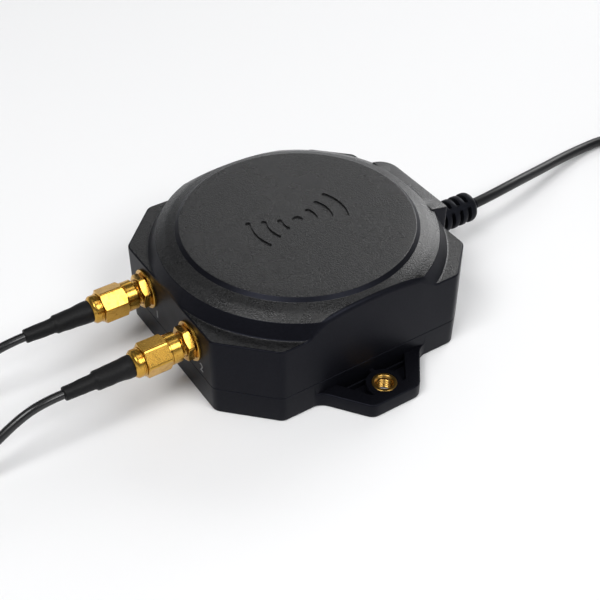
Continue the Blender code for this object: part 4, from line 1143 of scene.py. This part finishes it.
def add_panel(name, azimuth, elevation, size, radiance):
    """A soft panel one metre out."""
    around = math.radians(azimuth)
    up = math.radians(elevation)
    out = Vector((math.cos(around) * math.cos(up), math.sin(around) * math.cos(up), math.sin(up)))
    data = bpy.data.lights.new(name, "AREA")
    data.shape = "RECTANGLE"
    data.size, data.size_y = size
    data.energy = radiance * math.pi * size[0] * size[1]
    light = new_object(name, data)
    light.location = out + Vector((0.0, 0.0, 0.02))
    light.rotation_euler = (-out).to_track_quat("-Z", "Y").to_euler()


def add_lights():
    """The panels, and a world that is pale at the horizon and dim overhead."""
    world = bpy.data.worlds.new("studio")
    world.use_nodes = True
    tree = world.node_tree
    background = tree.nodes["Background"]
    background.inputs["Color"].default_value = (0.95, 0.97, 1.0, 1.0)
    direction = tree.nodes.new("ShaderNodeTexCoord").outputs["Generated"]
    parts = add_node(tree, "ShaderNodeSeparateXYZ", {"Vector": direction})
    strength = spread(tree, parts.outputs["Z"], 0.10, 0.34, 0.85, 0.10)
    tree.links.new(strength, background.inputs["Strength"])
    bpy.context.scene.world = world
    bpy.context.scene.view_settings.view_transform = "Standard"
    for panel in PANELS:
        add_panel(*panel)


# ---------------------------------------------------------------- leads and cable

def path_length(points):
    return sum((q - p).length for p, q in zip(points, points[1:]))


def smooth_route(points, spacing):
    """Evenly spaced points on a Catmull-Rom curve through the route's own points."""
    route = [Vector(p) for p in points]
    route = [route[0] * 2.0 - route[1]] + route + [route[-1] * 2.0 - route[-2]]
    dense = []
    for a, b, c, d in zip(route, route[1:], route[2:], route[3:]):
        for i in range(24):
            t = i / 24.0
            dense.append(0.5 * (2.0 * b + (c - a) * t + (2.0 * a - 5.0 * b + 4.0 * c - d) * t ** 2
                                + (3.0 * b - a - 3.0 * c + d) * t ** 3))
    dense.append(route[-2])
    length = path_length(dense)
    count = max(2, round(length / spacing))
    made = [dense[0]]
    walked = 0.0
    for p, q in zip(dense, dense[1:]):
        step = (q - p).length
        while step > 0.0 and len(made) * length / count <= walked + step and len(made) < count:
            made.append(p.lerp(q, (len(made) * length / count - walked) / step))
        walked += step
    made.append(dense[-1])
    return made


def coil_stops(wire, radius, entry):
    """(turn, radius, height) stops of a coil wound in and out across its columns, one row on another.

    A wire shifts sideways or climbs within COIL_SHIFT of a turn, and always before it meets its own last turn.
    """
    pitch = 2.0 * wire.radius + TURN_CLEARANCE
    height = wire.radius + COIL_LIFT
    track = [radius + pitch * ((wire.columns - 1) / 2.0 - i) for i in range(wire.columns)]
    stops = [(0.0, *entry), (0.30, track[0], height)]
    time = 1.0 - COIL_SHIFT
    column = 0
    way = 1
    for _ in range(wire.rows):
        for _ in range(wire.columns - 1):
            stops.append((time, track[column], height))
            column += way
            stops.append((time + COIL_SHIFT, track[column], height))
            time += 1.0
        way = -way
        climb = time - COIL_SHIFT
        stops.append((climb, track[column], height))
        height += pitch
        stops.append((climb + COIL_SHIFT, track[column], height))
        time = climb + 1.0 - COIL_SHIFT
    return stops


def way_out(turns, outer, below, bow, end):
    """Stops over the last turn: up over the outer column, down beside it, and out to the coil's end."""
    lean = math.radians(45)
    return [
        (turns - 0.44, outer, below + bow),
        (turns - 0.32, outer + bow * math.sin(lean), below + bow * math.cos(lean)),
        (turns - 0.20, outer + bow, below),
        (turns, *end),
    ]


def coil_path(centre, start_angle, way, stops, turns):
    """Points of a coil from its stops; way is 1 for counterclockwise."""
    points = []
    count = round(turns * COIL_POINTS)
    for i in range(1, count + 1):
        time = turns * i / count
        later = next((k for k, stop in enumerate(stops) if stop[0] >= time - 1e-9), len(stops) - 1)
        before = stops[max(later - 1, 0)]
        after = stops[later]
        share = 0.0 if after[0] == before[0] else ease((time - before[0]) / (after[0] - before[0]))
        radius = before[1] + (after[1] - before[1]) * share
        height = before[2] + (after[2] - before[2]) * share
        angle = start_angle + way * 2.0 * math.pi * time
        points.append(Vector((centre[0] + radius * math.cos(angle), centre[1] + radius * math.sin(angle),
                              height)))
    return points


def wound(wire, route, centre, way):
    """The whole path of a cord: its route, then a coil whose turns use up the rest of its length.

    The wire leaves the coil a quarter turn past the side it came in on.
    """
    start = route[-1]
    out = Vector((start.x - centre[0], start.y - centre[1]))
    start_angle = math.atan2(out.y, out.x)
    pitch = 2.0 * wire.radius + TURN_CLEARANCE
    spare = wire.length - path_length(route)
    turns = math.floor(spare / (2.0 * math.pi * wire.coil_radius) - 0.25 + 0.5) + 0.25
    radius = wire.coil_radius
    for _ in range(4):
        stops = [stop for stop in coil_stops(wire, radius, (out.length, start.z)) if stop[0] < turns - 0.62]
        outer = radius + pitch * (wire.columns - 1) / 2.0
        stops += way_out(turns, outer, stops[-1][2] - pitch, pitch * 1.04, wire.end)
        path = coil_path(centre, start_angle, way, stops, turns)
        radius += (spare - path_length([start] + path)) / (2.0 * math.pi * turns)
    return route + path


def make_cord(node, wire, route, inside, centre, way):
    """A cord on its route and its coil; inside is how far along Y its hidden end stands back."""
    points = [(route[0][0], route[0][1] + inside, route[0][2])] + route
    path = wound(wire, smooth_route(points, wire.spacing), centre, way)
    name = f"{node}_visual"
    curve = bpy.data.curves.new(name, "CURVE")
    curve.dimensions = "3D"
    curve.bevel_depth = wire.radius
    curve.bevel_resolution = 5
    curve.use_fill_caps = True
    spline = curve.splines.new("POLY")
    spline.points.add(len(path) - 1)
    for point, place in zip(spline.points, path):
        point.co = (*place, 1.0)
    spline.use_smooth = True
    curve.materials.append(LOOKS[wire.look])
    return show(new_object(name, curve), "cable_jacket", node, f"{node}_coil")


add_camera()
add_floor()
add_lights()
for side, number, route, centre, nut_turn in (
        (-1, 1, LEAD_ROUTE_1, LEAD_COIL_1, 0.35), (1, 2, LEAD_ROUTE_2, LEAD_COIL_2, 0.15)):
    make_wall_hardware(side, number)
    make_jack(side, number)
    make_coupling_nut(side, number, nut_turn)
    make_plug_body(side, number)
    make_port_mark(side, number)
    lead = make_cord(f"antenna_lead_{number}", LEAD, route, 2.0 * MM, centre, side)
    pieces = [make_heat_shrink(side, number), make_lead_end(number, centre, side)]
    pieces += make_ties(f"antenna_lead_{number}", LEAD, centre, (0.9, 3.9))
cable = make_cord("main_cable", CABLE, CABLE_ROUTE, -2.0 * MM, CABLE_COIL, 1)
pieces = [make_strain_relief(), "usb_plug_tongue"] + make_usb_plug()
pieces += make_ties("main_cable", CABLE, CABLE_COIL, (0.6, 3.5))
make_upper_housing()
make_base_shell()
make_inserts()
make_housing_screws()
paint_frame()
